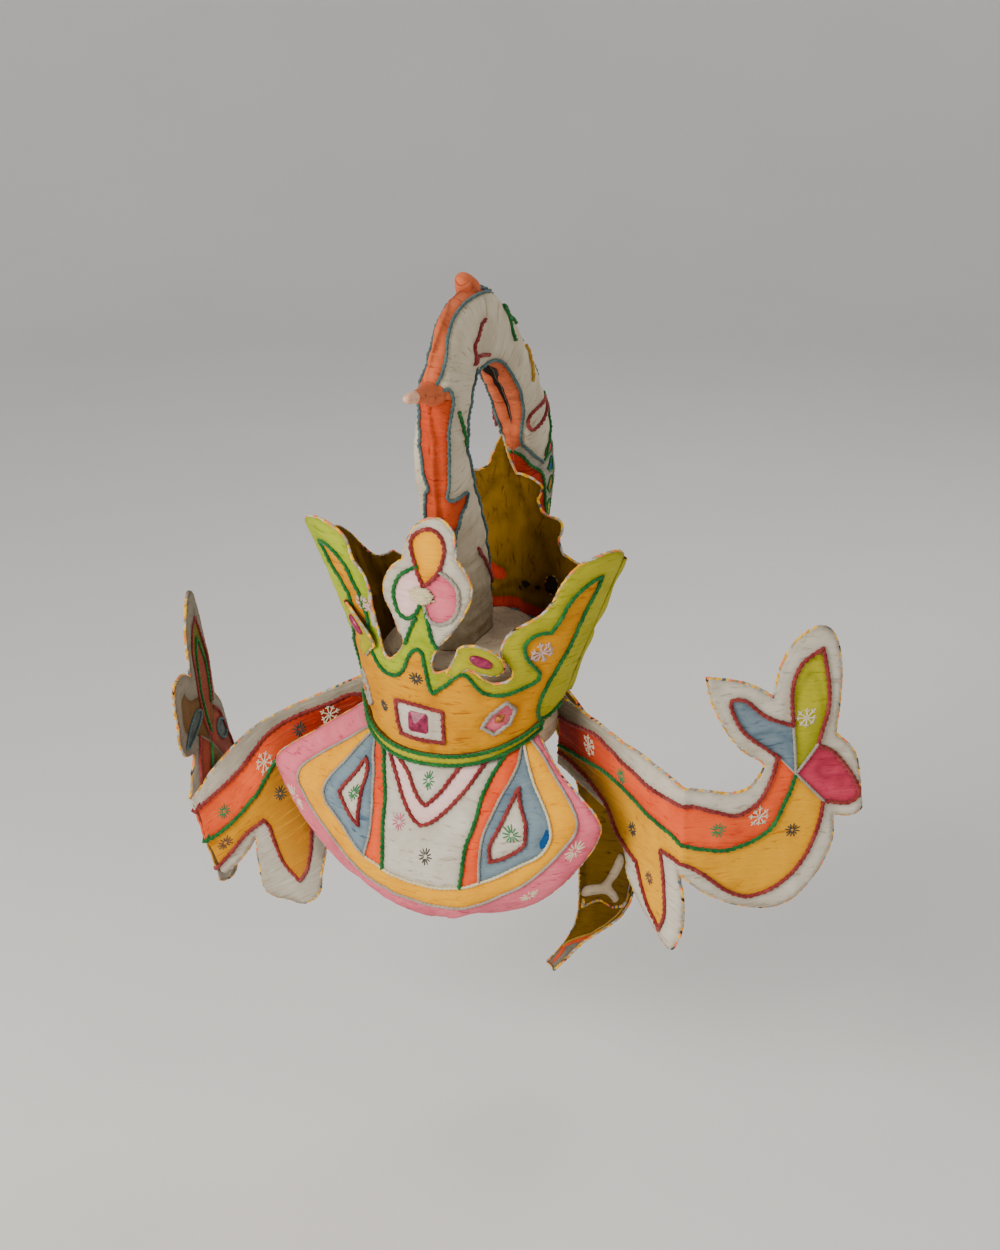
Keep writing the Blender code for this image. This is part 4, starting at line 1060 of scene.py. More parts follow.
CORAL_BAND = [
    (-18.6, 96, True), (6.5, 100), (32.7, 96), (54.5, 90, True), (54.4, 84), (21.7, 85),
    (-18.6, 86, True),
]
CORAL_PATCH = [
    (-15.9, 138, True), (-10.2, 136), (-2.3, 130), (0, 121), (-6.9, 118), (-18.4, 120, True),
]
TORN_HOLE = [
    (33.6, 131), (39.1, 135), (45.6, 132), (47.9, 124), (44.6, 117), (38.1, 115), (33.7, 120),
]
HEM_HOLES = [
    [(14.1, 121), (18.4, 124), (22.8, 121), (18.5, 117)],
    [(25, 118), (28.2, 121), (30.4, 118), (27.2, 115)],
    [(8.7, 112), (11.9, 114), (14.1, 111), (10.9, 109)],
]
REAR_BODY = [
    (-110.7, 56, True), (-109.8, 70), (-107.5, 90), (-108.8, 112), (-107, 128), (-100.3, 130),
    (-91, 118), (-80.7, 110), (-67.4, 106), (-53.2, 116), (-43.1, 140), (-34, 170), (-25.4, 196),
    (-12.5, 206), (0, 232), (12.7, 206), (19.2, 186), (27.9, 166), (36.8, 146), (52.1, 130),
    (71.6, 114), (90.3, 110), (103.9, 122), (113, 138, True), (109.5, 120), (105, 96), (102.8, 70),
    (105.2, 56, True),
]


def crown_rear_wall(around, height):
    """The crown's back wall over its flat pattern, whose middle is at the rear."""
    return crown_point(math.pi - around / CROWN_HALF_WIDTH, height)


def rear_bottom(turn):
    """Height of the crown back's lower edge, from its middle to the ears."""
    share = (abs(turn) / SEAM_TURN) ** 2
    return REAR_BOTTOM + (BOTTOM_RISE - REAR_BOTTOM) * share


def crown_back_outline():
    """The top line and the bottom line of the crown's back on its flat pattern."""
    seam = math.pi - SEAM_TURN - SEAM_HALF_GAP
    reach = seam * CROWN_HALF_WIDTH
    rows = [(-reach, LEFT_SEAM_TOP, True)]
    rows += sized(REAR_EDGE, SEAM_TURN * CROWN_HALF_WIDTH, REAR_PEAK)
    rows.append((reach, RIGHT_SEAM_TOP, True))
    steps = round(2 * reach / OUTLINE_STEP)
    turns = [seam - 2 * seam * k / steps for k in range(steps + 1)]
    bottom = [Vector((t * CROWN_HALF_WIDTH, rear_bottom(t))) for t in turns]
    return soft_line(rows, OUTLINE_STEP, False), bottom


REAR_SOFT = waves(
    9.0, (0.014, 0.16, 0.0056), (0.05, 0.07, 0.003), (0.008, 0.12, 0.0026), (0.005, 0.1, 0.0012)
)
HEM_LEVEL = 0.116


def rear_ripple(x, y):
    """Vertical pleats, and a rolled hem that runs round at the level of the cap's top."""
    level = HEM_LEVEL + 0.004 * math.sin(x / 0.017) + 0.003 * math.sin(x / 0.006)
    hem = math.exp(-(((y - level) / 0.0055) ** 2))
    crumple = noise.noise(Vector((x / 0.006, y / 0.01, 2.0))) * 0.003
    fold = noise.noise(Vector(((x - y * 0.6) / 0.012, y / 0.05, 5.0))) * 0.002
    return REAR_SOFT(x, y) + hem * (0.0024 + crumple) + fold


rear_place = place_on(crown_rear_wall, rear_ripple)
rear_top, rear_low = crown_back_outline()
# The holes in the hem and the torn hole are not cut: each is painted the dark hollow colour, a painted
# shade for the darkness seen through it.
shaded_holes = [(rows, "hollow") for rows in HEM_HOLES + [TORN_HOLE]]
crown_back = lay_sheet(
    "crown_back_cloth", rear_top + rear_low, rear_place, COTTON["olive"], COTTON["leaf green"],
    patches=areas((CORAL_BAND, "brick"), (CORAL_PATCH, "brick"), *shaded_holes),
    back_patches=areas((REAR_BODY, "ochre")),
    step=0.0028,
    upright=True,
)
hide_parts("crown_back")

# %% [markdown]
# The torn hole is bound like an edge, and a teal cord runs along the wall above the cap. The
# cords and stitches on the outer side use the same place function, counted from the other side.

# %% Edge, cords and stitches of the crown's back
bind_edge("crown_back_edge", rear_place, rear_top, closed=False, seed=21)
bind_edge("torn_hole_edge", rear_place, loop_of(TORN_HOLE), seed=22)
cap_line = opened([(-20, 85), (6, 85), (30, 84), (56, 82)])
couch("crown_back_teal_cord", rear_place, cap_line, "teal", seed=23)
rear_outside = raised(rear_place, 0.0, -1)
couch("crown_back_green_cord", rear_outside, opened(REAR_BODY), "green", 0.0016, 24)
rear_flakes = [(-0.06, 0.085, 0.0095), (0.0, 0.15, 0.0095), (0.06, 0.085, 0.0095)]
stitch_motifs(
    "crown_back_snowflakes", rear_outside, rear_flakes, "beige", snow=True, rays=8, radius=0.0009,
    seed=25,
)

# %% [markdown]
# Inside the crown sits a grey cotton cap that holds the whole headdress on. It is a soft dome with
# a nearly flat top, so it is turned like a pot: the same ring of points at each height, and then
# ripples that run outwards from the middle, where the cloth was gathered under the arch.

# %% The head cap
CAP_HEIGHT = 0.1
CAP_WALL = 0.0025
CAP_CLEARANCE = 0.0005
CAP_SEGMENTS = 128
CAP_RINGS = 24
LID_RINGS = 8
CAP_PROFILE = [
    # out, up
    (1.0, 0.0), (1.0, 0.28), (0.992, 0.46), (0.97, 0.64), (0.925, 0.81), (0.86, 0.92), (0.77, 0.98),
    (0.68, 1.0),
]


def blend_rows(rows, share):
    """A row part of the way down a table, on a smooth curve through its rows."""
    place = share * (len(rows) - 1)
    i = min(int(place), len(rows) - 2)
    t = place - i
    before, start = rows[max(i - 1, 0)], rows[i]
    end, after = rows[i + 1], rows[min(i + 2, len(rows) - 1)]
    mixed = []
    for a, b, c, d in zip(before, start, end, after):
        mixed.append(
            b
            + 0.5 * t * (c - a)
            + t * t * (a - 2.5 * b + 2 * c - 0.5 * d)
            + t**3 * (1.5 * b - 0.5 * a - 1.5 * c + 0.5 * d)
        )
    return mixed


def cap_half_size():
    """Half width and half depth of the head cap, which fits inside the crown."""
    inset = CARD / 2 + CAP_CLEARANCE
    return CROWN_HALF_WIDTH - inset, CROWN_HALF_DEPTH - inset


def make_head_cap():
    """The cap as an outer and an inner layer, joined round the brow."""
    wide, deep = cap_half_size()
    profile = [blend_rows(CAP_PROFILE, k / CAP_RINGS) for k in range(CAP_RINGS + 1)]
    for k in range(1, LID_RINGS):
        profile.append((0.68 * (1 - k / LID_RINGS), 1.0 + 0.004 * k / LID_RINGS))
    points, pattern, near = [], [], []
    for layer in range(2):
        for out, up in profile:
            for k in range(CAP_SEGMENTS):
                turn = 2 * math.pi * k / CAP_SEGMENTS
                way = Vector((math.sin(turn), -math.cos(turn), 0))
                pleat = noise.noise(Vector((turn * 3.2, up * 2.0, 3.0))) * 0.9
                pleat += noise.noise(Vector((way.x * out * 5, way.y * out * 5, 8.0)))
                free = min(1.0, max(0.0, (up - 0.5) * 4)) * min(1.0, out * 2.2)
                sink = 0.0032 * free * (pleat - 0.4)
                inset = CAP_WALL * layer
                level = up * CAP_HEIGHT - inset * up
                spot = Vector(((wide - inset) * out * way.x, (deep - inset) * out * way.y, level))
                lid = min(1.0, max(0.0, (0.97 - out) * 6))
                spot += Vector((0, 0, sink * lid)) + way * sink * (1 - lid) * 0.5
                points.append(spot)
                pattern.append((turn * 0.09, up * 0.1 + (1 - out) * 0.09, layer * 0.01))
                # The cloth is darker in a band near the cap's lower edge.
                near.append(math.exp(-((up - 0.05) ** 2) / 0.004) * 0.8)
    last = (len(profile) - 1) * CAP_SEGMENTS
    under = last + CAP_SEGMENTS
    faces = ring_faces(len(profile), CAP_SEGMENTS) + [tuple(range(last, under))]
    faces += [tuple(under + i for i in face[::-1]) for face in faces]
    for k in range(CAP_SEGMENTS):
        after = (k + 1) % CAP_SEGMENTS
        faces.append((under + k, under + after, after, k))
    cap = write_mesh("cap_cloth", points, faces, [COTTON["felt"]], pattern=pattern, near=near)
    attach(cap, "root")
    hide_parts("head_cap")
    print("cap faces:", len(faces))


make_head_cap()

# %% [markdown]
# A narrow green strip binds the crown's lower edge over the brow, with a green cord along each of
# its edges. It is made as one more sheet, lifted off the wall by the thickness of the card.

# %% The brow band
SEAT_GAP = 0.0003
BROW_BAND_HEIGHT = 0.0115
BROW_BAND_TURN = math.radians(68)
BROW_BAND_LIFT = 0.0006


def brow_wall(around, height):
    """The wall that the brow band lies on."""
    return crown_point(around / CROWN_HALF_WIDTH, height, CARD + SEAT_GAP * 2)


brow_place = place_on(brow_wall, waves(12.0, (0.03, 0.01, 0.0006)))
band_low = lower_edge(BROW_BAND_TURN, -BROW_BAND_TURN, BROW_BAND_LIFT)
band_high = lower_edge(-BROW_BAND_TURN, BROW_BAND_TURN, BROW_BAND_LIFT + BROW_BAND_HEIGHT)
brow_band = lay_sheet(
    "brow_band_cloth", band_high + band_low, brow_place, COTTON["leaf green"], COTTON["olive"]
)
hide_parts("brow_band")
ring_round = [p + Vector((0, -0.0012)) for p in band_high]
ring_round += [p + Vector((0, 0.0008)) for p in band_low]
band_lines = [(even_line(ring_round, CORD_STEP, True), True)]
couch("brow_band_cord", brow_place, band_lines, "green", 0.0018, 31)

# %% [markdown]
# Two small leaves stand off the wall beside the trefoil. Each is a sheet of its own that curls
# away from the crown towards its upper edge, bound like the rest, with an oval red stone.

# %% The leaves
LEAF_LENGTH = 0.05
LEAF_WIDTH = 0.027
LEAF_CURL = 0.007
OVAL_LENGTH = 0.023
OVAL_WIDTH = 0.012
OVAL_HEIGHT = 0.004
LEAF_EDGE = [
    # along, across, corner
    (-0.5, 0.05), (-0.34, 0.38), (-0.06, 0.5), (0.24, 0.4), (0.44, 0.16), (0.5, -0.12), (0.4, -0.34),
    (0.14, -0.46), (-0.14, -0.52), (-0.22, -1.05, True), (-0.42, -1.0, True), (-0.46, -0.3),
]
LEAF_STANCES = {
    # side: turn, height, tilt
    "right": (math.radians(26.1), 0.115, math.radians(-24)),
    "left": (math.radians(35.6), 0.127, math.radians(44)),
}


def leaf_frame(side, out=0.0):
    """Maps a leaf's own length and width to the crown's wall, lifted off it as the leaf curls."""
    middle_turn, height, tilt = LEAF_STANCES[side]
    sign = 1 if side == "right" else -1
    seat = CARD + SEAT_GAP + out

    def surface(along, across):
        around = along * math.cos(tilt) - across * math.sin(tilt)
        rise = along * math.sin(tilt) + across * math.cos(tilt)
        share = max(0.0, (across + LEAF_WIDTH / 2) / LEAF_WIDTH)
        wide = crown_half_width(sign * middle_turn, height + rise)
        turn = middle_turn + around / wide
        return crown_point(sign * turn, height + rise, seat + LEAF_CURL * share**2)

    return surface


def leaf_place(side):
    """The place function of a leaf, whose face always looks outwards."""
    return raised(place_on(leaf_frame(side), lambda x, y: 0.0), 0.0, 1 if side == "right" else -1)


leaf_places = {}
for side in ("right", "left"):
    outline = soft_line(sized(LEAF_EDGE, LEAF_LENGTH, LEAF_WIDTH), OUTLINE_STEP * 0.6, True)
    leaf_places[side] = leaf_place(side)
    green = COTTON["leaf green"]
    leaf = lay_sheet("leaf_" + side + "_cloth", outline, leaf_places[side], green, green, step=0.0022)
    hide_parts("leaf_" + side)
    bind_edge("leaf_" + side + "_edge", leaf_places[side], outline, seed=33)

# %% [markdown]
# The stones are glass. A cut stone is a handful of flat faces, and its look comes from the way
# light enters and leaves it, so its material lets some light through, is smooth, and is a little
# darker in its depth. The solid model's stones already have the right faces, so they stay, and
# only their material changes here. The oval ones are smoother, and are modelled again.

# %% A finish for glass stones
def glass(name, colour, deep):
    """Coloured glass with a polished surface."""
    finish, tree, shader = start_finish(name)
    solid = add_node(tree, "TexCoord").outputs["Object"]
    cloudy = soft_step(tree, cloud(tree, solid, 240.0, 3.0), 0.35, 0.7)
    fill_inputs(tree, shader, {
        "Base Color": mix_colours(tree, cloudy, deep, colour),
        "Roughness": 0.42,
        "Specular IOR Level": 0.45,
        "Coat Weight": 0.06,
        "Coat Roughness": 0.12,
        "Subsurface Weight": 0.25,
        "Subsurface Scale": 0.004,
    })
    return finish


RUBY = glass("ruby glass", (0.42, 0.012, 0.1, 1), (0.14, 0.003, 0.03, 1))
AMBER = glass("amber glass", (0.62, 0.2, 0.02, 1), (0.22, 0.06, 0.008, 1))
STONES = {"square_ruby": RUBY, "amber_left": AMBER, "amber_right": AMBER}
for node, finish in STONES.items():
    stone = frame["nodes"][node]
    if not stone.material_slots:
        stone.data.materials.append(finish)
    stone.material_slots[0].material = finish
print("stones repainted:", len(STONES))


STONE_RINGS = [(1.0, 0.0), (1.0, 0.35), (0.94, 0.62), (0.8, 0.84), (0.58, 0.96), (0.3, 1.0)]
STONE_SIDES = 40


def closed_rings(rings, sides):
    """Faces of a closed shape that is made of rings, with a lid at each end."""
    faces = ring_faces(rings, sides)
    faces.append(tuple(reversed(range(sides))))
    faces.append(tuple((rings - 1) * sides + k for k in range(sides)))
    return faces


def make_oval_stone(side):
    """A smooth oval stone on a leaf, with a rolled rim."""
    place = leaf_places[side]
    middle = place(0, 0, CARD / 2)
    along = (place(1e-3, 0) - place(-1e-3, 0)).normalized()
    across = (place(0, 1e-3) - place(0, -1e-3)).normalized()
    normal = (place(0, 0, 0.01) - place(0, 0, 0)).normalized()
    points = []
    for share, up in STONE_RINGS:
        for k in range(STONE_SIDES):
            turn = 2 * math.pi * k / STONE_SIDES
            spot = middle + normal * (0.0004 + up * OVAL_HEIGHT)
            spot += along * (math.cos(turn) * share * OVAL_LENGTH / 2)
            spot += across * (math.sin(turn) * share * OVAL_WIDTH / 2)
            points.append(spot)
    faces = closed_rings(len(STONE_RINGS), STONE_SIDES)
    stone = write_mesh("leaf_" + side + "_stone", points, faces, [RUBY])
    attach(stone, "root")
    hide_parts("oval_ruby_" + side)


make_oval_stone("right")
make_oval_stone("left")

# %% [markdown]
# The bib hangs from the brow and covers the wearer's face. It was one soft sheet, wide at the
# cheeks and rolled under at the bottom. Its shape comes from a table of sections, each saying how
# low, how wide and how far forward the cloth is in its middle and at its sides, and a smooth
# curve runs down through them. The pattern is a rectangle that this curve gathers in.

# %% The bib's surface
BIB_DROP = 0.163
BIB_HALF_WIDTH = 0.175
BIB_OUT = 0.118
BIB_TOP_TURN = math.radians(68)
BIB_SECTIONS = [
    # drop_mid, drop_side, wide, out_mid, out_side
    (0.16, 0.02, 0.74, 0.895, 0.56), (0.33, 0.21, 0.975, 0.95, 0.655),
    (0.52, 0.36, 0.975, 0.985, 0.62), (0.71, 0.6, 0.845, 1.0, 0.635), (0.84, 0.78, 0.7, 0.985, 0.64),
    (0.93, 0.89, 0.56, 0.95, 0.65), (1.0, 0.965, 0.37, 0.89, 0.66),
]


def bib_top(across):
    """The bib's top edge, which hangs from the crown's lower edge."""
    turn = across * BIB_TOP_TURN
    spot = crown_point(turn, bottom_edge(turn))
    spot.z -= CARD / 2 + SEAT_GAP * 3
    return spot


def bib_row(index, across):
    """A point of one bib section, from -1 at its left edge to 1 at its right edge."""
    drop_mid, drop_side, wide, out_mid, out_side = BIB_SECTIONS[index]
    drop = (drop_mid + (drop_side - drop_mid) * across**2) * BIB_DROP
    out = (out_mid + (out_side - out_mid) * across**2) * BIB_OUT
    return Vector((across * wide * BIB_HALF_WIDTH, -out, -drop))


def bib_surface(x, y):
    """A point of the bib from its flat pattern."""
    across = x / BIB_HALF_WIDTH
    rows = [bib_top(across)] + [bib_row(i, across) for i in range(len(BIB_SECTIONS))]
    return Vector(blend_rows([tuple(row) for row in rows], min(max(-y / BIB_DROP, 0.0), 1.0)))


# %% [markdown]
# The bib's colours are panels between cords: a rose border, a yellow band, two sky-blue side
# panels with a white blade in each, coral strips, and a white middle with a pale V. Every panel's
# edge is one of the lines below, so neighbouring panels share their lines exactly.

# %% The bib's panels
YELLOW_LINE = [
    (-131, -1), (-137, -13), (-143, -26), (-145, -40), (-145, -51), (-144, -61), (-139, -72),
    (-131, -80), (-120, -87), (-110, -94), (-96, -104), (-71, -116), (-25, -125), (22, -130),
    (53, -130), (87, -122), (110, -108), (127, -96), (138, -82), (147, -67), (155, -52), (160, -42),
    (167, -28), (168, -14), (162, -1),
]
SKY_LINE = [
    (-120, -1), (-117, -18), (-114, -31), (-111, -45), (-109, -54), (-104, -62), (-95, -69),
    (-86, -77), (-77, -84), (-66, -89), (-55, -92), (-43, -95), (-18, -99), (19, -101), (51, -99),
    (74, -93), (95, -86), (112, -79), (125, -73), (130, -62), (133, -45), (142, -28), (149, -12),
    (154, -1),
]
LEFT_CORAL_OUT = [
    (-113, -1), (-92, -12), (-72, -24), (-57, -38), (-51, -50), (-54, -70), (-67, -88),
]
LEFT_CORAL_IN = [
    (-90, -1), (-74, -9), (-58, -20), (-45, -33), (-38, -46), (-39, -74), (-46, -95),
]
RIGHT_CORAL_IN = [
    (131, -1), (113, -8), (96, -16), (68, -36), (55, -53), (50, -70), (54, -99),
]
RIGHT_CORAL_OUT = [
    (152, -1), (138, -11), (121, -19), (89, -34), (69, -50), (66, -72), (74, -93),
]
V_OUTER = [
    (-69, -1), (-41, -16), (-21, -33), (-6, -47), (3, -52, True), (14, -48), (41, -32), (71, -16),
    (98, -1),
]
V_INNER = [
    (-46, -1), (-20, -14), (-2, -30), (7, -36, True), (25, -25), (42, -13), (58, -1),
]
LEFT_BLADE = [
    (-96, -17, True), (-83, -24), (-68, -43), (-66, -66, True), (-75, -62), (-92, -47, True),
    (-92, -31),
]
RIGHT_BLADE = [
    (126, -24, True), (114, -37), (108, -53), (106, -64), (92, -72), (77, -75, True), (75, -60),
    (92, -41),
]
DEEP_SKY = [
    (128, -50), (131, -56), (130, -64), (124, -68), (121, -62), (124, -56),
]


def area_between(first, second):
    """The closed loop between two open lines of a pattern."""
    return line_of(first, AREA_STEP) + line_of(second, AREA_STEP)[::-1]


def over_the_top(rows):
    """A line's loop, closed above the top edge of the bib."""
    points = line_of(rows, AREA_STEP)
    return [Vector((points[0].x, 0.01))] + points + [Vector((points[-1].x, 0.01))]


BIB_RIPPLE = waves(
    21.0, (0.05, 0.16, 0.003), (0.022, 0.05, 0.0014), (0.012, 0.012, 0.0006), (0.03, 0.006, 0.0005)
)
bib_place = place_on(bib_surface, BIB_RIPPLE)


def bib_outline():
    """The bib's rectangle on its pattern: the top edge and the free edge."""
    wide, tall = BIB_HALF_WIDTH, BIB_DROP
    steps = 110
    top = [Vector((-wide + 2 * wide * k / steps, 0)) for k in range(steps)]
    free = [Vector((wide, 0)), Vector((wide, -tall)), Vector((-wide, -tall)), Vector((-wide, 0))]
    return top, even_line(free, OUTLINE_STEP, False)


bib_top_line, bib_free = bib_outline()
left_outer, left_inner = [(-113, 5)] + LEFT_CORAL_OUT, [(-90, 5)] + LEFT_CORAL_IN
right_inner, right_outer = [(131, 5)] + RIGHT_CORAL_IN, [(152, 5)] + RIGHT_CORAL_OUT
bib_areas = [
    (over_the_top(YELLOW_LINE), COTTON["yellow"]),
    (over_the_top(SKY_LINE), COTTON["white"]),
    (area_between([(-120, 5)] + SKY_LINE[:10], left_outer), COTTON["sky"]),
    (area_between(left_outer, left_inner), COTTON["coral"]),
    (area_between(right_inner, right_outer), COTTON["coral"]),
    (area_between(right_outer, [(154, 5)] + SKY_LINE[:14:-1]), COTTON["sky"]),
    (over_the_top(V_OUTER), COTTON["shell"]),
    (over_the_top(V_INNER), COTTON["white"]),
] + areas((DEEP_SKY, "deep sky"), (LEFT_BLADE, "white"), (RIGHT_BLADE, "white"))
bib = lay_sheet(
    "bib_cloth", bib_top_line + bib_free[:-1], bib_place, COTTON["rose"], COTTON["linen"],
    patches=bib_areas, swell=0.001,
)
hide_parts("bib")

# %% [markdown]
# The bib's cords follow the same tables as its panels, so each lies exactly over a join. A
# dictionary keeps the lines, the radius and the seed of each colour of wool together, and one
# loop lays them all.

# %% Cords, edge and stitches of the bib
BIB_CORDS = {
    # wool: lines, radius, seed
    "grey": (opened(YELLOW_LINE, LEFT_CORAL_OUT, RIGHT_CORAL_OUT, SKY_LINE[:10]), 0.0014, 41),
    "cream": (opened(SKY_LINE[9:]), 0.0014, 42),
    "green": (opened(LEFT_CORAL_IN, RIGHT_CORAL_IN), 0.0019, 43),
    "crimson": (opened(V_OUTER, V_INNER) + closed(LEFT_BLADE, RIGHT_BLADE), 0.0019, 44),
}
BIB_STARS = {
    # thread: across, up, size
    "green": [(0.011, -0.015, 0.0085), (-0.077, -0.043, 0.0065), (0.095, -0.053, 0.008)],
    "pink": [(-0.02, -0.053, 0.0075)],
    "dark": [(0.01, -0.075, 0.0075)],
    "cream": [(-0.16, -0.078, 0.0085), (0.157, -0.074, 0.008), (0.146, -0.112, 0.0085)],
}
for colour, (lines, radius, seed) in BIB_CORDS.items():
    couch("bib_" + colour + "_cord", bib_place, lines, colour, radius, seed)
bind_edge("bib_edge", bib_place, bib_free, closed=False, seed=45)
for colour, motifs in BIB_STARS.items():
    stitch_motifs("bib_" + colour + "_stars", bib_place, motifs, colour, rays=12, seed=46)

# %% [markdown]
# The two arms are cut from the same pattern: a band that widens into a belly with a fin below and
# ends in a fish tail of three petals. Each stands in its own way. The right one is creased once
# and reaches out, the left one droops and its tail folds back, so its reverse shows. A few ribs
# across the pattern say where the cloth is in space, and a smooth curve runs from rib to rib,
# turning sharply at the crease.

# %% The arms' surface
ARM_LENGTH = 0.183
ARM_ROOT_X = 0.111
ARM_ROOT_Y = 0.016
ARM_ROOT_Z = 0.034
TAIL_REACH = 0.173
TAIL_RISE = 0.147
FIN_DROP = 0.181
ARM_RIB_DROP = 0.12
ARM_RIB_RISE = 0.104
ARM_PATTERN = [
    # along, up, corner
    (-1.0, -0.02, True), (-0.58, -0.022), (-0.14, -0.02), (0.12, -0.055), (0.25, -0.078),
    (0.36, -0.062), (0.425, 0.02), (0.435, 0.095), (0.31, 0.205), (0.21, 0.37), (0.13, 0.57),
    (0.105, 0.715, True), (0.29, 0.665), (0.4, 0.605), (0.475, 0.54, True), (0.505, 0.74),
    (0.57, 0.895), (0.66, 0.985), (0.73, 1.0), (0.79, 0.94), (0.83, 0.78), (0.838, 0.54),
    (0.828, 0.26, True), (0.92, 0.155), (0.965, 0.03), (1.0, -0.225, True), (0.95, -0.262),
    (0.845, -0.255, True), (0.838, -0.42), (0.757, -0.585), (0.635, -0.72), (0.5, -0.768),
    (0.32, -0.735), (0.15, -0.65), (-0.028, -0.505, True), (0.01, -0.64), (0.015, -0.84),
    (-0.045, -0.985), (-0.11, -1.0), (-0.245, -0.955), (-0.385, -0.855), (-0.48, -0.755),
    (-0.485, -0.67), (-0.59, -0.54), (-0.72, -0.475), (-1.0, -0.43, True),
]
ARM_RIBS = {
    "right": {
        # reach, out, front, rise, fold
        "high": [
            (0.0, 0.82, 0.56, 0.52, True), (1.0, 1.6, 0.02, 0.52),
        ],
        "mid": [
            (-1.0, 0.0, 0.0, 0.0), (0.0, 0.82, 0.56, -0.05, True),
            (1.0, 1.6, 0.02, -0.05),
        ],
        "low": [
            (-1.0, 0.0, 0.0, -0.66), (0.0, 0.82, 0.56, -0.71, True),
            (1.0, 1.6, 0.02, -0.71),
        ],
    },
    "left": {
        "high": [
            (0.1, 0.78, 0.85, 0.08), (0.61, 0.94, 0.38, 0.14),
            (1.0, 1.04, 0.02, 0.11),
        ],
        "mid": [
            (-1.0, 0.0, 0.0, 0.0), (-0.38, 0.53, 0.32, -0.27),
            (-0.03, 0.72, 0.57, -0.47), (0.35, 0.82, 0.72, -0.59, True),
            (0.61, 0.76, 0.54, -0.38), (1.0, 0.85, 0.18, -0.43),
        ],
        "low": [
            (-1.0, 0.0, 0.0, -0.66), (-0.38, 0.2, 0.44, -0.86),
            (-0.03, 0.48, 0.42, -1.1), (0.14, 0.75, 0.52, -1.26, True),
            (0.61, 0.68, 0.46, -1.07), (1.0, 0.79, 0.1, -1.19),
        ],
    },
}


def pattern_reach(share):
    """A length along the arm's pattern, from its share of the arm's or of the tail's length."""
    return share * (TAIL_REACH if share > 0 else ARM_LENGTH)


def rib_place(side, rib):
    """Where a rib crosses a level: its length along the pattern, and its place in space."""
    sign = 1 if side == "right" else -1
    reach, out, front, rise = rib[:4]
    spot = Vector((sign * out, -front, rise)) * ARM_LENGTH
    return pattern_reach(reach), spot + Vector((sign * ARM_ROOT_X, ARM_ROOT_Y, ARM_ROOT_Z))


def arm_point(side, along, up):
    """A point of an arm, from its place along and up on the flat pattern."""
    ribs = ARM_RIBS[side]
    ends = ribs["low"] if up <= 0 else ribs["high"]
    share = -up / ARM_RIB_DROP if up <= 0 else up / ARM_RIB_RISE
    lines = []
    for mid, end in zip(ribs["mid"][-len(ends) :], ends):
        mid_reach, mid_spot = rib_place(side, mid)
        end_reach, end_spot = rib_place(side, end)
        reach = mid_reach + (end_reach - mid_reach) * share
        lines.append((reach, mid_spot.lerp(end_spot, share), len(mid) > 4))
    last = len(lines) - 2
    k = max([0] + [i for i in range(1, last + 1) if along >= lines[i][0]])
    start, end = lines[k], lines[k + 1]
    chord = end[1] - start[1]
    span = end[0] - start[0]
    t = (along - start[0]) / span
    leave, arrive = chord, chord
    if k > 0 and not start[2]:
        leave = (end[1] - lines[k - 1][1]) * (span / (end[0] - lines[k - 1][0]))
    if k < last and not end[2]:
        arrive = (lines[k + 2][1] - start[1]) * (span / (lines[k + 2][0] - start[0]))
    if t < 0:
        return start[1] + leave * t
    if t > 1:
        return end[1] + arrive * (t - 1)
    return hermite(start[1], leave, arrive, end[1], t)


def arm_root_reach(side):
    """How far back along its pattern an arm runs before its end meets the head cap."""
    wide, deep = cap_half_size()
    reach, level, nudge = -ARM_LENGTH, -CARD * 2, 2e-4
    clear = 1.0
    while clear > SEAT_GAP:
        reach -= nudge
        along = arm_point(side, reach + nudge, level) - arm_point(side, reach - nudge, level)
        up = arm_point(side, reach, level + nudge) - arm_point(side, reach, level - nudge)
        normal = along.cross(up).normalized() * CARD / 2
        faces = [arm_point(side, reach, level) + normal * way for way in (-1, 1)]
        clear = min(math.hypot(p.x / wide, p.y / deep) - 1 for p in faces) * wide
    return reach


def arm_outline(side):
    """An arm's flat pattern at its real size, with its root cut to meet the head cap."""
    rows = []
    root = arm_root_reach(side)
    for along, up, *corner in ARM_PATTERN:
        rise = up * (TAIL_RISE if up > 0 else FIN_DROP)
        rows.append((root if along == -1.0 else pattern_reach(along), rise, *corner))
    return soft_line(rows, OUTLINE_STEP, True)


# %% [markdown]
# The face of an arm is white cotton with a coral band above and an ochre one below, parted by a
# green cord, then the petals in blue, yellow-green and red. The reverse, which shows where the
# left tail folds back, has the same petals nested one inside the other. On the real thing the
# left arm's stars aren't where the right arm's are, so each side has its own list.

# %% The arms' colours
ARM_RED_LINES = {
    "right": [
        (-215, -26), (-188, -23), (-146, -18), (-96, -24), (-39, -28), (4, -24), (30, -31),
        (52, -36), (72, -24), (84, 0), (88, 20),
    ],
    "left": [
        (-215, -30), (-179, -27), (-156, -17), (-136, -17), (-113, -15), (-75, -15), (-34, -24),
        (-3, -26), (36, -28), (54, -30), (72, -22), (84, 0), (88, 20),
    ],
}
ARM_GREEN_LINES = {
    "right": [
        (-215, -57), (-180, -54), (-133, -49), (-92, -52), (-54, -58), (-10, -62), (18, -69),
        (48, -71), (82, -56), (98, -26), (106, 0),
    ],
    "left": [
        (-215, -53), (-181, -50), (-156, -44), (-130, -42), (-107, -38), (-92, -37), (-69, -41),
        (-35, -55), (-18, -58), (5, -63), (37, -67), (82, -56), (98, -26), (106, 0),
    ],
}
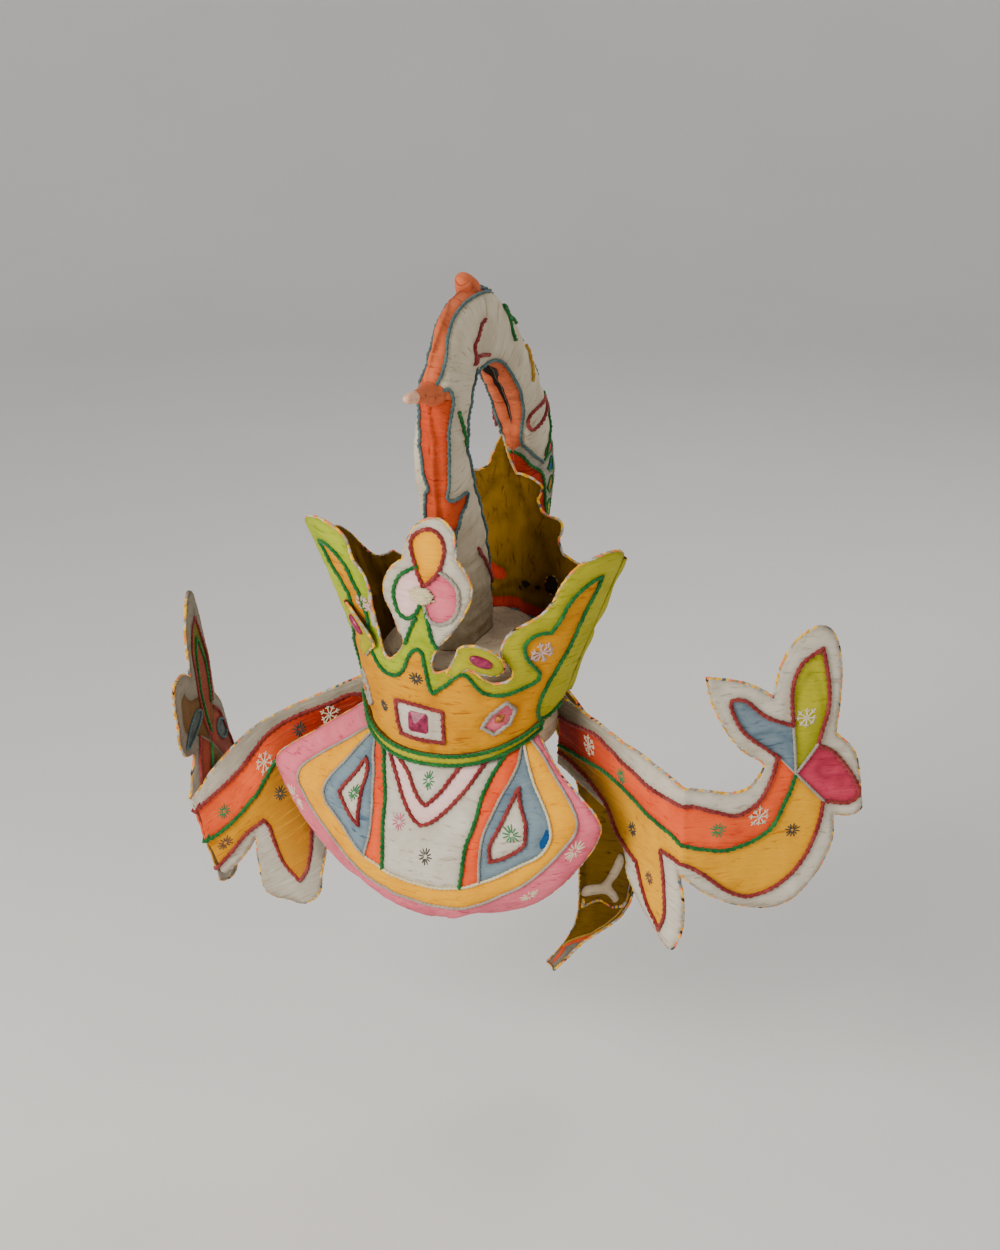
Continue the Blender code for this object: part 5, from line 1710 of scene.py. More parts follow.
BLUE_PETAL = [
    (106, 2, True), (102, 50, True), (75, 62), (54, 80), (41, 78), (53, 50), (75, 30), (91, 18, True),
]
GREEN_PETAL = [
    (106, 2, True), (102, 50), (99, 85), (106, 111), (126, 127, True), (133, 92), (134, 65),
    (127, 30, True),
]
RED_PETAL = [
    (106, 2, True), (127, 29, True), (146, 16), (169, -20), (160, -34), (136, -31, True),
]
BELLY_START = [
    (135, -31), (133, -48), (124, -77), (111, -99), (91, -117), (66, -125), (43, -115), (18, -94),
]
BELLY_END = [
    (-99, -105), (-123, -84), (-150, -72), (-188, -66), (-215, -64),
]
BELLY_LINES = {
    "right": BELLY_START + [
        (-3, -83), (-31, -84, True), (-25, -102), (-22, -125), (-21, -150), (-30, -170, True),
        (-48, -156), (-62, -138), (-71, -117, True),
    ] + BELLY_END,
    "left": BELLY_START + [
        (2, -84), (-22, -82, True), (-24, -92), (-20, -108), (-16, -133), (-22, -157, True),
        (-42, -150), (-60, -138), (-73, -118, True),
    ] + BELLY_END,
}
TALL_OUTER = [
    (110, 2, True), (99, 28), (97, 48), (95, 68), (96, 86), (101, 101), (111, 114), (123, 122, True),
    (131, 104), (136, 85), (135, 60), (130, 34),
]
TALL_INNER = [
    (112, 8, True), (105, 38), (103, 60), (104, 78), (109, 92), (116, 103, True), (123, 92),
    (128, 74), (128, 54), (123, 34),
]
REAR_EYES = (
    [(57, 34), (66, 43), (84, 45), (96, 37), (84, 29), (66, 28)],
    [(127, 4), (137, 11), (154, 8), (160, -1), (150, -9), (134, -5)],
)
ARM_MOTIFS = {
    "right": {
        "snow": [(-159, -34), (73, -40), (114, 58)],
        "green": [(-101, -40), (33, -50)],
        "dark": [(-80, -87), (106, -58)],
        "brown": [(-48, -123)],
    },
    "left": {
        "snow": [(-132, -28), (-52, -37)],
        "green": [(13, -49)],
        "dark": [(-98, -28), (-54, -72)],
        "brown": [(21, -81)],
    },
}
MOTIF_SIZES = {"snow": 0.0105, "green": 0.008, "dark": 0.0075, "brown": 0.007}
ARM_COLOUR_AND_SHADE_FADES = {
    # area: for each side its colour, the colour at the root, and where that gives way; the colour
    # at the root is painted shade near the root, on the left arm as far as the fold, and the coral
    # band's deep brick is partly its own colour. The left arm's darker ochre is partly painted shade.
    "coral": {
        "right": ("coral", ("brick deep", -0.19, -0.09)),
        "left": ("coral", ("brick deep", -0.12, -0.03)),
    },
    "white": {
        "right": ("white", ("linen deep", -0.18, -0.04)),
        "left": ("white", ("dull grey", -0.1, 0.06)),
    },
    "ochre": {
        "right": ("saffron", ("mustard deep", -0.17, -0.05)),
        "left": ("ochre", ("mustard deep", -0.1, 0.03)),
    },
}
ARM_COTTON = {"right": {}, "left": {}}
for area, sides in ARM_COLOUR_AND_SHADE_FADES.items():
    for side, (colour, fade) in sides.items():
        ARM_COTTON[side][area] = painted_cotton("cotton " + side + " " + area, colour, fade)


def arm_areas(side):
    """The belly and the band over it, which both of an arm's sides have."""
    red, green = ARM_RED_LINES[side], ARM_GREEN_LINES[side]
    belly = line_of(green, AREA_STEP) + line_of(BELLY_LINES[side], AREA_STEP)
    return belly, area_between(red, green)


def make_arm(side):
    """One arm with its cords, edge and stitches."""
    name = "arm_" + side + "_"
    seed = 50 if side == "right" else 70
    sign = 1 if side == "right" else -1
    ripple = waves(seed, (0.06, 0.09, 0.0028), (0.024, 0.03, 0.0012), (0.01, 0.03, 0.0006))
    bare = place_on(lambda x, y: arm_point(side, x, y), ripple)
    place, behind = raised(bare, 0.0, sign), raised(bare, 0.0, -sign)
    outline = arm_outline(side)
    root = min(p.x for p in outline)
    cotton = ARM_COTTON[side]
    belly, band = arm_areas(side)
    arm = lay_sheet(
        name + "cloth", outline, place, cotton["white"], COTTON["dull grey"],
        patches=[(belly, cotton["ochre"]), (band, cotton["coral"])]
        + areas((BLUE_PETAL, "sky"), (GREEN_PETAL, "leaf green"), (RED_PETAL, "cherry")),
        # The reverse takes the dull colours, partly its own colours and partly painted shade.
        back_patches=[(belly, COTTON["dull brown"]), (band, COTTON["dull red"])]
        + areas(
            (BLUE_PETAL, "dull brown"), (RED_PETAL, "dull red"), (TALL_OUTER, "dull green"),
            (TALL_INNER, "dull red"), (REAR_EYES[0], "slate"), (REAR_EYES[1], "slate"),
        ),
        step=0.0036,
    )
    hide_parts("arm_" + side)

    def trimmed(rows):
        """An open line cut off where the arm ends at the head cap."""
        return [([p for p in line_of(rows) if p.x > root + 0.001], False)]

    green, red = trimmed(ARM_GREEN_LINES[side]), trimmed(ARM_RED_LINES[side])
    petals = opened(BLUE_PETAL[1:], GREEN_PETAL[1:], RED_PETAL[1:])
    joins = opened(BLUE_PETAL[:2], *([petal[0], petal[-1]] for petal in (GREEN_PETAL, RED_PETAL)))
    couch(name + "green_cord", place, green, "green", seed=seed)
    red_lines = red + trimmed(BELLY_LINES[side]) + petals
    couch(name + "crimson_cord", place, red_lines, "crimson", seed=seed + 1)
    couch(name + "petal_joins", place, joins, "grey", 0.0014, seed + 2)
    bind_edge(name + "edge", place, outline, seed=seed + 3)
    for kind, spots in ARM_MOTIFS[side].items():
        snow = kind == "snow"
        motifs = [(x / 1000, y / 1000, MOTIF_SIZES[kind]) for x, y in spots]
        stitch_motifs(
            name + kind + "_stitches", place, motifs, "cream" if snow else kind, snow=snow,
            rays=8 if snow else 12, radius=0.0007, seed=seed + 4,
        )
    rear_red = opened(TALL_OUTER) + red + opened(RED_PETAL[1:])
    couch(name + "rear_crimson_cord", behind, rear_red, "crimson", 0.0013, seed + 5)
    couch(name + "rear_green_cord", behind, opened(TALL_INNER) + green, "green", 0.0013, seed + 6)
    couch(name + "rear_grey_cord", behind, closed(*REAR_EYES), "teal", 0.0012, seed + 7)


make_arm("right")
make_arm("left")

# %% [markdown]
# The tail hangs behind the head from the crown's back and swings forward at the bottom. It is a
# strip held between two rails, one down each long edge, with a bow across it. Its inner side is
# lined with olive cotton that ends in a wavy edge, mended with a forked strip of grey felt, and
# below that it has a coral rim and a twisted tip of pale cloth.

# %% The rear tail
REAR_TAIL_DROP = 0.33
REAR_TAIL_OUT = 0.15
REAR_TAIL_SIDE = 0.15
REAR_TAIL_BOW = 0.12
REAR_TAIL_BOW_WAY = (0.35, 0.94, 0.0)
REAR_TAIL_WIDE = 0.0675
FACING_THICK = 0.0018
REAR_TAIL_RAILS = [
    # near side, near back, near down, far side, far back, far down
    (0.29, 0.82, 0.14, 0.78, 0.74, 0.105), (0.44, 0.96, 0.42, 0.9, 0.85, 0.38),
    (0.43, 0.987, 0.68, 0.89, 0.9, 0.64), (0.425, 0.987, 0.842, 0.8, 0.9, 0.8),
    (0.371, 0.933, 0.935, 0.52, 0.85, 0.925), (0.262, 0.8, 1.01, 0.32, 0.787, 1.03),
]
REAR_TAIL_NEAR_TURN = math.radians(166)
REAR_TAIL_FAR_TURN = math.radians(127)

TAIL_RIM = [
    (64, -188, True), (62, -226), (61, -252), (46, -266), (30, -276), (4, -292, True),
    (4, -302, True), (32, -286), (52, -276), (64, -262, True),
]
TAIL_TIP = [
    (4, -302, True), (32, -286), (52, -276), (64, -262, True), (64, -327, True), (4, -327, True),
]
TIP_STREAK = [
    (14, -298), (26, -296), (34, -312), (28, -325), (20, -318),
]
FACING_EDGE = [
    (4, -16, True), (29, -16, True), (32, -54, True), (63.5, -134, True), (63.5, -207, True),
    (53, -211), (43, -213), (33, -208), (23, -204), (14, -207), (4, -214, True),
]
FELT_STRIP = [
    (43, -150), (51, -155), (44, -170), (37, -183), (51, -198), (45, -205), (30, -194), (5, -197),
    (5, -185), (24, -180), (34, -166),
]


def rear_tail_top(turn):
    """Where the rear tail hangs from the crown back's lower edge."""
    spot = crown_point(turn, rear_bottom(math.pi - turn))
    spot.z -= CARD / 2 + SEAT_GAP * 3
    return spot


def rear_tail_point(across, down):
    """A point of the rear tail: across from 0 at its near edge to 1, down from 0 to 1."""
    near = [tuple(rear_tail_top(REAR_TAIL_NEAR_TURN))]
    far = [tuple(rear_tail_top(REAR_TAIL_FAR_TURN))]
    for row in REAR_TAIL_RAILS:
        for rail, (side, back, low) in ((near, row[:3]), (far, row[3:])):
            rail.append((side * REAR_TAIL_SIDE, back * REAR_TAIL_OUT, -low * REAR_TAIL_DROP))
    down = min(max(down, 0.0), 1.0)
    start, end = Vector(blend_rows(near, down)), Vector(blend_rows(far, down))
    bow = 4 * across * (1 - across) * (end - start).length * REAR_TAIL_BOW
    return start.lerp(end, across) + Vector(REAR_TAIL_BOW_WAY) * bow


def tail_surface(x, y):
    """A point of the rear tail from its flat pattern."""
    return rear_tail_point(x / REAR_TAIL_WIDE, -y / REAR_TAIL_DROP)


TAIL_SOFT = waves(31.0, (0.03, 0.09, 0.0026), (0.012, 0.05, 0.0012), (0.02, 0.012, 0.0006))
TAIL_CORNERS = [
    (0.0, 0.0, True), (REAR_TAIL_WIDE - 0.034, 0.0, True), (REAR_TAIL_WIDE - 0.032, -0.055, True),
    (REAR_TAIL_WIDE, -0.13, True), (REAR_TAIL_WIDE, -REAR_TAIL_DROP, True),
    (0.0, -REAR_TAIL_DROP, True),
]
tail_place = place_on(tail_surface, TAIL_SOFT)
tail_outline = soft_line(TAIL_CORNERS, 0.004, True)
rear_tail = lay_sheet(
    "rear_tail_cloth", tail_outline, tail_place, COTTON["olive"], COTTON["leaf green"],
    patches=areas((TAIL_RIM, "coral"), (TAIL_TIP, "dull grey"), (TIP_STREAK, "coral")),
)
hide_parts("rear_tail")
free_corners = [Vector(row[:2]) for row in TAIL_CORNERS[1:] + TAIL_CORNERS[:1]]
free_edge = even_line(free_corners, 0.004, False)
bind_edge("rear_tail_edge", tail_place, free_edge, closed=False, seed=61)
couch("rear_tail_rim_cord", tail_place, opened(TAIL_RIM[:6]), "mustard", 0.0012, 62)

# %% [markdown]
# The facing is a thin sheet that lies on the tail, and the felt strip lies on the facing. Each
# gets its place function from the one below it, raised by the thicknesses between them.

# %% The facing and the felt strip on the tail
FACING_LIFT = (CARD + FACING_THICK) / 2 + SEAT_GAP * 2
facing_place = raised(tail_place, FACING_LIFT)
facing_outline = loop_of(FACING_EDGE)
facing = lay_sheet(
    "rear_facing_cloth", facing_outline, facing_place, COTTON["olive"], COTTON["linen"],
    thick=FACING_THICK, swell=0.0004,
)
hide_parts("rear_tail_facing")
wavy = sorted((p for p in facing_outline if p.y < -0.2), key=lambda p: p.x)
bind_edge("rear_facing_edge", facing_place, wavy, closed=False, radius=0.0016, seed=63)
felt_place = raised(facing_place, FACING_THICK / 2 + 0.0008)
lay_sheet(
    "felt_strip", loop_of(FELT_STRIP), felt_place, COTTON["felt"], COTTON["felt"],
    thick=0.0012, swell=0.0012, step=0.0024,
)

# %% [markdown]
# The arch is a long roll of cotton stuffed until it is firm. It stands on the cap, leans forward,
# turns over and comes down behind the crown. It is described by stations along its run, each with
# a middle, a depth and a width, and by half a section, which goes from the ridge outside, over
# the flat flank, to the middle of the inner face.

# %% The arch's run and section
ARCH_TOP = 0.443
ARCH_REACH = 0.18
ARCH_WIDTH = 0.037
ARCH_FOOT_DEPTH = 0.08
ARCH_FOOT_BACK = -0.015
ARCH_HEEL_UP = 0.062
ARCH_HEEL_DEPTH = 0.028
ARCH_FOOT_SHARE = 0.06
ARCH_SECTIONS = [
    # back, up, deep, wide
    (-0.092, 0.31, 1.0, 1.1), (-0.112, 0.415, 0.96, 1.02), (-0.178, 0.51, 0.8, 1.0),
    (-0.262, 0.6, 0.7, 1.0), (-0.308, 0.69, 0.63, 1.0), (-0.285, 0.775, 0.67, 1.0),
    (-0.24, 0.85, 0.84, 1.0), (-0.125, 0.91, 1.02, 1.0), (0.11, 0.912, 0.93, 1.0),
    (0.33, 0.868, 0.76, 1.0), (0.52, 0.8, 0.72, 1.0), (0.67, 0.722, 0.74, 1.0),
    (0.78, 0.64, 0.84, 1.0), (0.845, 0.56, 0.96, 0.96), (0.865, 0.48, 0.92, 0.92),
    (0.825, 0.375, 0.74, 0.86), (0.74, 0.255, 0.52, 0.8),
]
ARCH_LEFT_SHARES = [
    # foot to crest
    1.0, 1.0, 1.06, 1.12, 1.16, 1.14, 0.96, 0.62, 0.44, 0.58,
    # crest to heel
    0.84, 1.0, 1.0, 1.0, 1.0, 1.0, 1.0, 1.0, 1.0,
]
ARCH_HALF = [
    # across, out, from the ridge to the middle of the inner face
    (0.0, 1.0), (0.52, 0.88), (0.9, 0.66), (1.0, 0.25), (1.0, -0.3), (0.96, -0.82), (0.6, -1.0),
    (0.0, -1.0),
]


def arch_station(share):
    """Middle, depth and width of the arch at a share of its way from foot to heel."""
    foot = (ARCH_FOOT_BACK / ARCH_REACH, (CAP_HEIGHT + SEAT_GAP) / ARCH_TOP, 1.02, 1.16)
    wall = crown_point(math.pi, ARCH_HEEL_UP).y + CARD / 2 + SEAT_GAP
    heel = (
        (wall + ARCH_HEEL_DEPTH / 2) / ARCH_REACH,
        ARCH_HEEL_UP / ARCH_TOP,
        ARCH_HEEL_DEPTH / ARCH_FOOT_DEPTH,
        0.76,
    )
    back, up, deep, wide = blend_rows([foot] + ARCH_SECTIONS + [heel], share)
    middle = Vector((0, back * ARCH_REACH, up * ARCH_TOP))
    return middle, deep * ARCH_FOOT_DEPTH, wide * ARCH_WIDTH


def arch_left_share(share):
    """How much of its half width the arch has on the left at a share of its way."""
    return blend_rows([(value,) for value in ARCH_LEFT_SHARES], share)[0]


def arch_out(share):
    """The way that the arch runs at a share of its way, and the way out, square to it."""
    nudge = 0.004
    run = arch_station(min(1, share + nudge))[0] - arch_station(max(0, share - nudge))[0]
    run.normalize()
    if share < ARCH_FOOT_SHARE:
        run = Vector((0, 0, 1)).lerp(run, share / ARCH_FOOT_SHARE).normalized()
    return run, Vector((0, -run.z, run.y))


ARCH_GIRTH = 0.09
RUN_PARTS = 200
ARCH_RUN = 0.0
for k in range(RUN_PARTS):
    start, end = arch_station(k / RUN_PARTS)[0], arch_station((k + 1) / RUN_PARTS)[0]
    ARCH_RUN += (end - start).length
print("the arch is", round(ARCH_RUN, 3), "m along its middle")


def arch_surface(x, y):
    """A point of the arch from its flat pattern: x along the run, y round from the ridge."""
    share = min(max(x / ARCH_RUN, 0.0), 1.0)
    middle, deep, wide = arch_station(share)
    _, out = arch_out(share)
    around = y / ARCH_GIRTH
    across, rise = blend_rows(ARCH_HALF, min(abs(around), 1.0))
    if abs(around) > 1:
        across = -across
    side = 1 if around > 0 else -arch_left_share(share)
    return middle + Vector((side * across * wide / 2, 0, 0)) + out * (rise * deep / 2)


def on_arch(rows):
    """A table of (share, around), turned into metres on the arch's pattern."""
    return [(row[0] * ARCH_RUN, row[1] * ARCH_GIRTH, *row[2:]) for row in rows]


# %% [markdown]
# Stuffed cloth is never as smooth as a lathe would make it. A rough copy of the arch, made of
# evenly spaced rows, is blown up from inside with Blender's cloth solver for twenty frames. Its
# ends and its ridge are pinned. How far each point moved is kept as a table of heights, held to a
# few millimetres, and the finished arch reads its bulges from that table.

# %% Blowing up the arch as cloth
PUFF_ROWS = 150
PUFF_SIDES = 40
PUFF_LIMIT = 0.0035
PUFF_FRAMES = 20
PUFF_SETTINGS = {
    "quality": 6,
    "mass": 0.2,
    "tension_stiffness": 12,
    "compression_stiffness": 12,
    "shear_stiffness": 4,
    "bending_stiffness": 0.2,
    "vertex_group_mass": "pins",
    "use_pressure": True,
    "uniform_pressure_force": 4.0,
}


def puff_grid():
    """The rough copy's points, row by row."""
    points = []
    for row in range(PUFF_ROWS + 1):
        for k in range(PUFF_SIDES):
            around = -1 + 2 * k / PUFF_SIDES
            points.append(arch_surface(row / PUFF_ROWS * ARCH_RUN, around * ARCH_GIRTH))
    return points


def puff_heights():
    """How far the cloth solver pushes each point of the rough copy outwards."""
    points = puff_grid()
    faces = ring_faces(PUFF_ROWS + 1, PUFF_SIDES)
    mesh = bpy.data.meshes.new("arch_puff")
    mesh.from_pydata(points, [], faces)
    rough = bpy.data.objects.new("arch_puff", mesh)
    bpy.context.scene.collection.objects.link(rough)
    pins = rough.vertex_groups.new(name="pins")
    for row in range(PUFF_ROWS + 1):
        for k in range(PUFF_SIDES):
            firm = row < 2 or row > PUFF_ROWS - 2 or k == PUFF_SIDES // 2
            pins.add([row * PUFF_SIDES + k], 1.0 if firm else 0.0, "REPLACE")
    cloth = rough.modifiers.new("cloth", "CLOTH")
    for setting, value in PUFF_SETTINGS.items():
        setattr(cloth.settings, setting, value)
    cloth.settings.effector_weights.gravity = 0.0
    cloth.point_cache.frame_end = PUFF_FRAMES
    scene = bpy.context.scene
    for number in range(1, PUFF_FRAMES + 1):
        scene.frame_set(number)
    puffed = rough.evaluated_get(bpy.context.evaluated_depsgraph_get())
    heights = np.zeros((PUFF_ROWS + 1) * PUFF_SIDES)
    for i, vertex in enumerate(puffed.data.vertices):
        heights[i] = (vertex.co - points[i]).dot(mesh.vertices[i].normal)
    scene.frame_set(1)
    bpy.data.objects.remove(rough)
    print("cloth heights in mm:", round(heights.min() * 1000, 1), round(heights.max() * 1000, 1))
    heights = np.clip(heights, -PUFF_LIMIT, PUFF_LIMIT)
    return heights.reshape(PUFF_ROWS + 1, PUFF_SIDES)


PUFF = puff_heights()


def puff_at(x, y):
    """The height of the blown-up cloth at a spot of the arch's pattern."""
    row = min(max(x / ARCH_RUN, 0.0), 0.9999) * PUFF_ROWS
    turn = (y / ARCH_GIRTH + 1) / 2 * PUFF_SIDES
    i, k = int(row), int(math.floor(turn))
    s, t = row - i, turn - math.floor(turn)
    k0, k1 = k % PUFF_SIDES, (k + 1) % PUFF_SIDES
    low = PUFF[i, k0] * (1 - t) + PUFF[i, k1] * t
    high = PUFF[i + 1, k0] * (1 - t) + PUFF[i + 1, k1] * t
    return low * (1 - s) + high * s


# %% [markdown]
# The arch is covered in three colours. A coral stripe runs up its front, over the horn, to the
# crest, and a coral lining faces the hole, open along a slit. The flanks are white, with single
# strokes of cord. Behind the barb come bands of mustard, green and coral. Each area is drawn on
# the arch's own pattern, whose two long edges meet in the middle of the inner face.

# %% The arch's colours
STRIPE_RIGHT = [
    (0.52, 0.05, True), (0.508, 0.13), (0.482, 0.18), (0.461, 0.19), (0.446, 0.17), (0.434, 0.15),
    (0.421, 0.15), (0.404, 0.18), (0.383, 0.15), (0.367, 0.08), (0.355, 0.06, True), (0.357, 0.11),
    (0.364, 0.18), (0.367, 0.26), (0.357, 0.32), (0.338, 0.32), (0.32, 0.3), (0.303, 0.27),
    (0.277, 0.28), (0.249, 0.27), (0.228, 0.21), (0.221, 0.24), (0.218, 0.52, True), (0.202, 0.48),
    (0.193, 0.35), (0.172, 0.25), (0.14, 0.18), (0.115, 0.0, True),
]
STRIPE_LEFT = [
    (0.52, 0.05, True), (0.5, -0.13), (0.47, -0.22), (0.44, -0.26), (0.4, -0.27), (0.37, -0.28),
    (0.345, -0.26), (0.333, -0.21), (0.303, -0.15), (0.277, -0.1), (0.252, -0.08),
    (0.238, -0.03, True), (0.232, -0.11), (0.21, -0.13), (0.19, -0.15), (0.165, -0.16), (0.14, -0.12),
    (0.115, 0.0, True),
]
LINING = [
    (0.05, 0.8, True), (0.1, 0.76), (0.157, 0.74), (0.233, 0.7), (0.3, 0.72), (0.357, 0.74),
    (0.44, 0.76), (0.5, 0.75), (0.539, 0.72), (0.574, 0.72), (0.611, 0.73), (0.643, 0.73),
    (0.676, 0.76), (0.705, 0.84), (0.737, 0.87), (0.757, 0.75), (0.803, 0.57, True),
]
REAR_GREEN_LINE = [
    (0.757, 0.998, True), (0.764, 0.88), (0.805, 0.66), (0.84, 0.57), (0.88, 0.52),
    (0.985, 0.5, True),
]
FLANK_END = [
    (0.803, 0.57, True), (0.77, 0.44), (0.752, 0.29), (0.703, 0.3, True),
]
RIDGE_STRIP = [
    (0.703, 0.3, True), (0.735, 0.24), (0.754, 0.27), (0.799, 0.32), (0.871, 0.3), (0.93, 0.28),
    (0.985, 0.26, True), (0.985, -0.26, True), (0.93, -0.28), (0.871, -0.3), (0.799, -0.32),
    (0.754, -0.27), (0.735, -0.24), (0.703, -0.3, True), (0.69, 0.0, True),
]
SLIT = [
    (0.556, 0.998, True), (0.562, 0.93), (0.574, 0.89), (0.59, 0.9), (0.604, 0.95), (0.622, 0.94),
    (0.64, 0.955), (0.662, 0.965), (0.69, 0.975), (0.712, 0.998, True),
]
EYE = [
    (0.487, 0.02), (0.489, 0.07), (0.497, 0.105), (0.506, 0.09), (0.508, 0.04), (0.501, 0.01),
    (0.493, 0.0),
]
EYE_DARK = [
    (0.49, 0.03), (0.493, 0.075), (0.499, 0.07), (0.497, 0.03),
]

REAR_AREA = (
    [(0.757, 0.998, True), (0.742, 0.86), (0.757, 0.75), (0.803, 0.57, True)],
    [(0.803, 0.57, True), (0.77, 0.44), (0.752, 0.29), (0.745, 0.26, True)],
    [(0.745, 0.26, True), (0.985, 0.26, True), (0.985, 0.998, True)],
)
STRIPE_CHANGE = 0.352
ARCH_STROKES = {
    "crimson": [
        [(0.484, 0.42), (0.445, 0.52), (0.407, 0.62, True), (0.45, 0.62), (0.498, 0.67)],
        [
            (0.709, 0.34), (0.7, 0.5), (0.695, 0.69), (0.708, 0.74), (0.721, 0.7),
            (0.723, 0.54), (0.717, 0.38), (0.709, 0.34),
        ],
        [(0.132, 0.49), (0.1, 0.6), (0.065, 0.73)],
    ],
    "green": [
        [(0.569, 0.51), (0.546, 0.38), (0.524, 0.26, True), (0.55, 0.25), (0.578, 0.26)],
        [(0.336, 0.41), (0.311, 0.54), (0.275, 0.65)],
    ],
    "mustard": [[(0.615, 0.27), (0.635, 0.42), (0.655, 0.55)]],
}
CREASE = [
    (0.1, 0.0), (0.278, 0.07), (0.306, 0.04), (0.337, -0.03), (0.371, -0.08), (0.388, -0.06),
    (0.414, 0.02), (0.441, 0.04), (0.456, -0.16),
]
REAR_DIAMONDS = [
    (0.79, 0.46), (0.818, 0.43), (0.846, 0.42), (0.874, 0.41), (0.902, 0.4),
]
ARCH_AREA_STEP = 0.0026
REAR_SCRAPS = ("cherry", "deep sky", "mustard", "leaf green", "coral")


def diamond(share, around):
    """A small diamond on the arch's pattern."""
    long, wide = 0.0125, 0.105
    return [
        (share - long, around, True), (share, around + wide, True), (share + long, around, True),
        (share, around - wide, True),
    ]


def closed_diamond(share, around):
    """The cord round a diamond, which ends where it began."""
    rows = diamond(share, around)
    return rows + rows[:1]


def rear_scraps(sign):
    """The coloured diamonds behind the barb, as closed loops on one flank."""
    loops = []
    for (share, around), colour in zip(REAR_DIAMONDS, REAR_SCRAPS):
        rows = diamond(share, sign * around)[::sign]
        loops.append((soft_line(on_arch(rows), ARCH_AREA_STEP, True), COTTON[colour]))
    return loops


def mirrored(rows):
    """The same table on the other flank."""
    return [(row[0], -row[1], *row[2:]) for row in rows]


def arch_loop(*tables):
    """One closed loop through several tables on the arch's pattern."""
    points = []
    for rows in tables:
        line = soft_line(on_arch(rows), ARCH_AREA_STEP, False)
        if points and (points[-1] - line[0]).length < 1e-6:
            line = line[1:]
        points += line
    if (points[0] - points[-1]).length < 1e-6:
        points.pop()
    return points


def to_seam(rows, sign=1):
    """A table run back along the seam, so that its loop reaches the inner middle."""
    return [(rows[-1][0], sign * 0.998, True), (rows[0][0], sign * 0.998, True)]


def arch_patches():
    """The areas of colour on the arch."""
    stripe = arch_loop(STRIPE_RIGHT, STRIPE_LEFT[::-1])
    low_stripe = [p for p in stripe if p.x <= STRIPE_CHANGE * ARCH_RUN]
    patches = [(stripe, COTTON["peach"]), (low_stripe, COTTON["ember"])]
    for sign in (1, -1):
        lining, *rear, green, slit = (
            rows if sign == 1 else mirrored(rows) for rows in (LINING, *REAR_AREA, REAR_GREEN_LINE, SLIT)
        )
        patches.append((arch_loop(lining, to_seam(lining, sign)), COTTON["peach"]))
        patches.append((arch_loop(*rear), COTTON["linen"]))
        patches += rear_scraps(sign)
        patches.append((arch_loop(green, to_seam(green, sign)), COTTON["brick"]))
        # The slit is not cut open: it is painted the dark hollow colour, a painted shade for the dark
        # inside.
        patches.append((arch_loop(slit), COTTON["hollow"]))
    patches.append((arch_loop(RIDGE_STRIP), COTTON["ember"]))
    patches.append((arch_loop(EYE + EYE[:1]), COTTON["white"]))
    patches.append((arch_loop(EYE_DARK + EYE_DARK[:1]), COTTON["hollow"]))
    return patches


# %% [markdown]
# The arch's skin is made like a sheet, but in one layer: its pattern is filled with triangles,
# rolled round, joined along the seam and closed at both ends. Its smooth surface looks inwards,
# so its place function is counted from the other side. The ripple adds everything that makes it
# look used: the blown-up cloth, slack folds, the pinched crease and the slit.

# %% The arch's body
CREASE_TALL = 0.0032
SLIT_DEEP = 0.0045
SLIT_START = 0.545
SLIT_SPAN = 0.18
ARCH_FOLDS = [
    # wavelength along the run, wavelength round the roll, height
    (0.011, 0.05, 0.0018),
    (0.006, 0.03, 0.001),
    (0.035, 0.04, 0.0016),
]
CREASE_LINE = soft_line(on_arch(CREASE), 0.004, False)
CREASE_X = [p.x for p in CREASE_LINE]
CREASE_Y = [p.y for p in CREASE_LINE]


def arch_ripple(x, y):
    """Stuffing, slack folds, the pinched crease up the front and the slit in the lining."""
    share = x / ARCH_RUN
    turn = y / ARCH_GIRTH * math.pi
    height = puff_at(x, y)
    for k, (along, across, tall) in enumerate(ARCH_FOLDS):
        ring = 0.029 / across
        spot = Vector((x / along, ring * math.cos(turn) + 7.3 * k, ring * math.sin(turn)))
        height += tall * noise.noise(spot)
    if CREASE_X[0] < x < CREASE_X[-1]:
        off = y - float(np.interp(x, CREASE_X, CREASE_Y))
        ends = min(1.0, (x - CREASE_X[0]) / 0.02, (CREASE_X[-1] - x) / 0.02)
        height += ends * CREASE_TALL * math.exp(-((off / 0.002) ** 2))
        height -= ends * CREASE_TALL * 0.5 * math.exp(-(((off - 0.005) / 0.003) ** 2))
    along_slit = (share - SLIT_START) / SLIT_SPAN
    if 0 < along_slit < 1:
        ends = math.sin(along_slit * math.pi) ** 0.5
        gap = ARCH_GIRTH - abs(y)
        height -= ends * SLIT_DEEP * math.exp(-((gap / 0.006) ** 2))
    return height


arch_inwards = place_on(arch_surface, lambda x, y: -arch_ripple(x, y))
arch_place = raised(arch_inwards, 0.0, -1)
ARCH_STEP = 0.0034


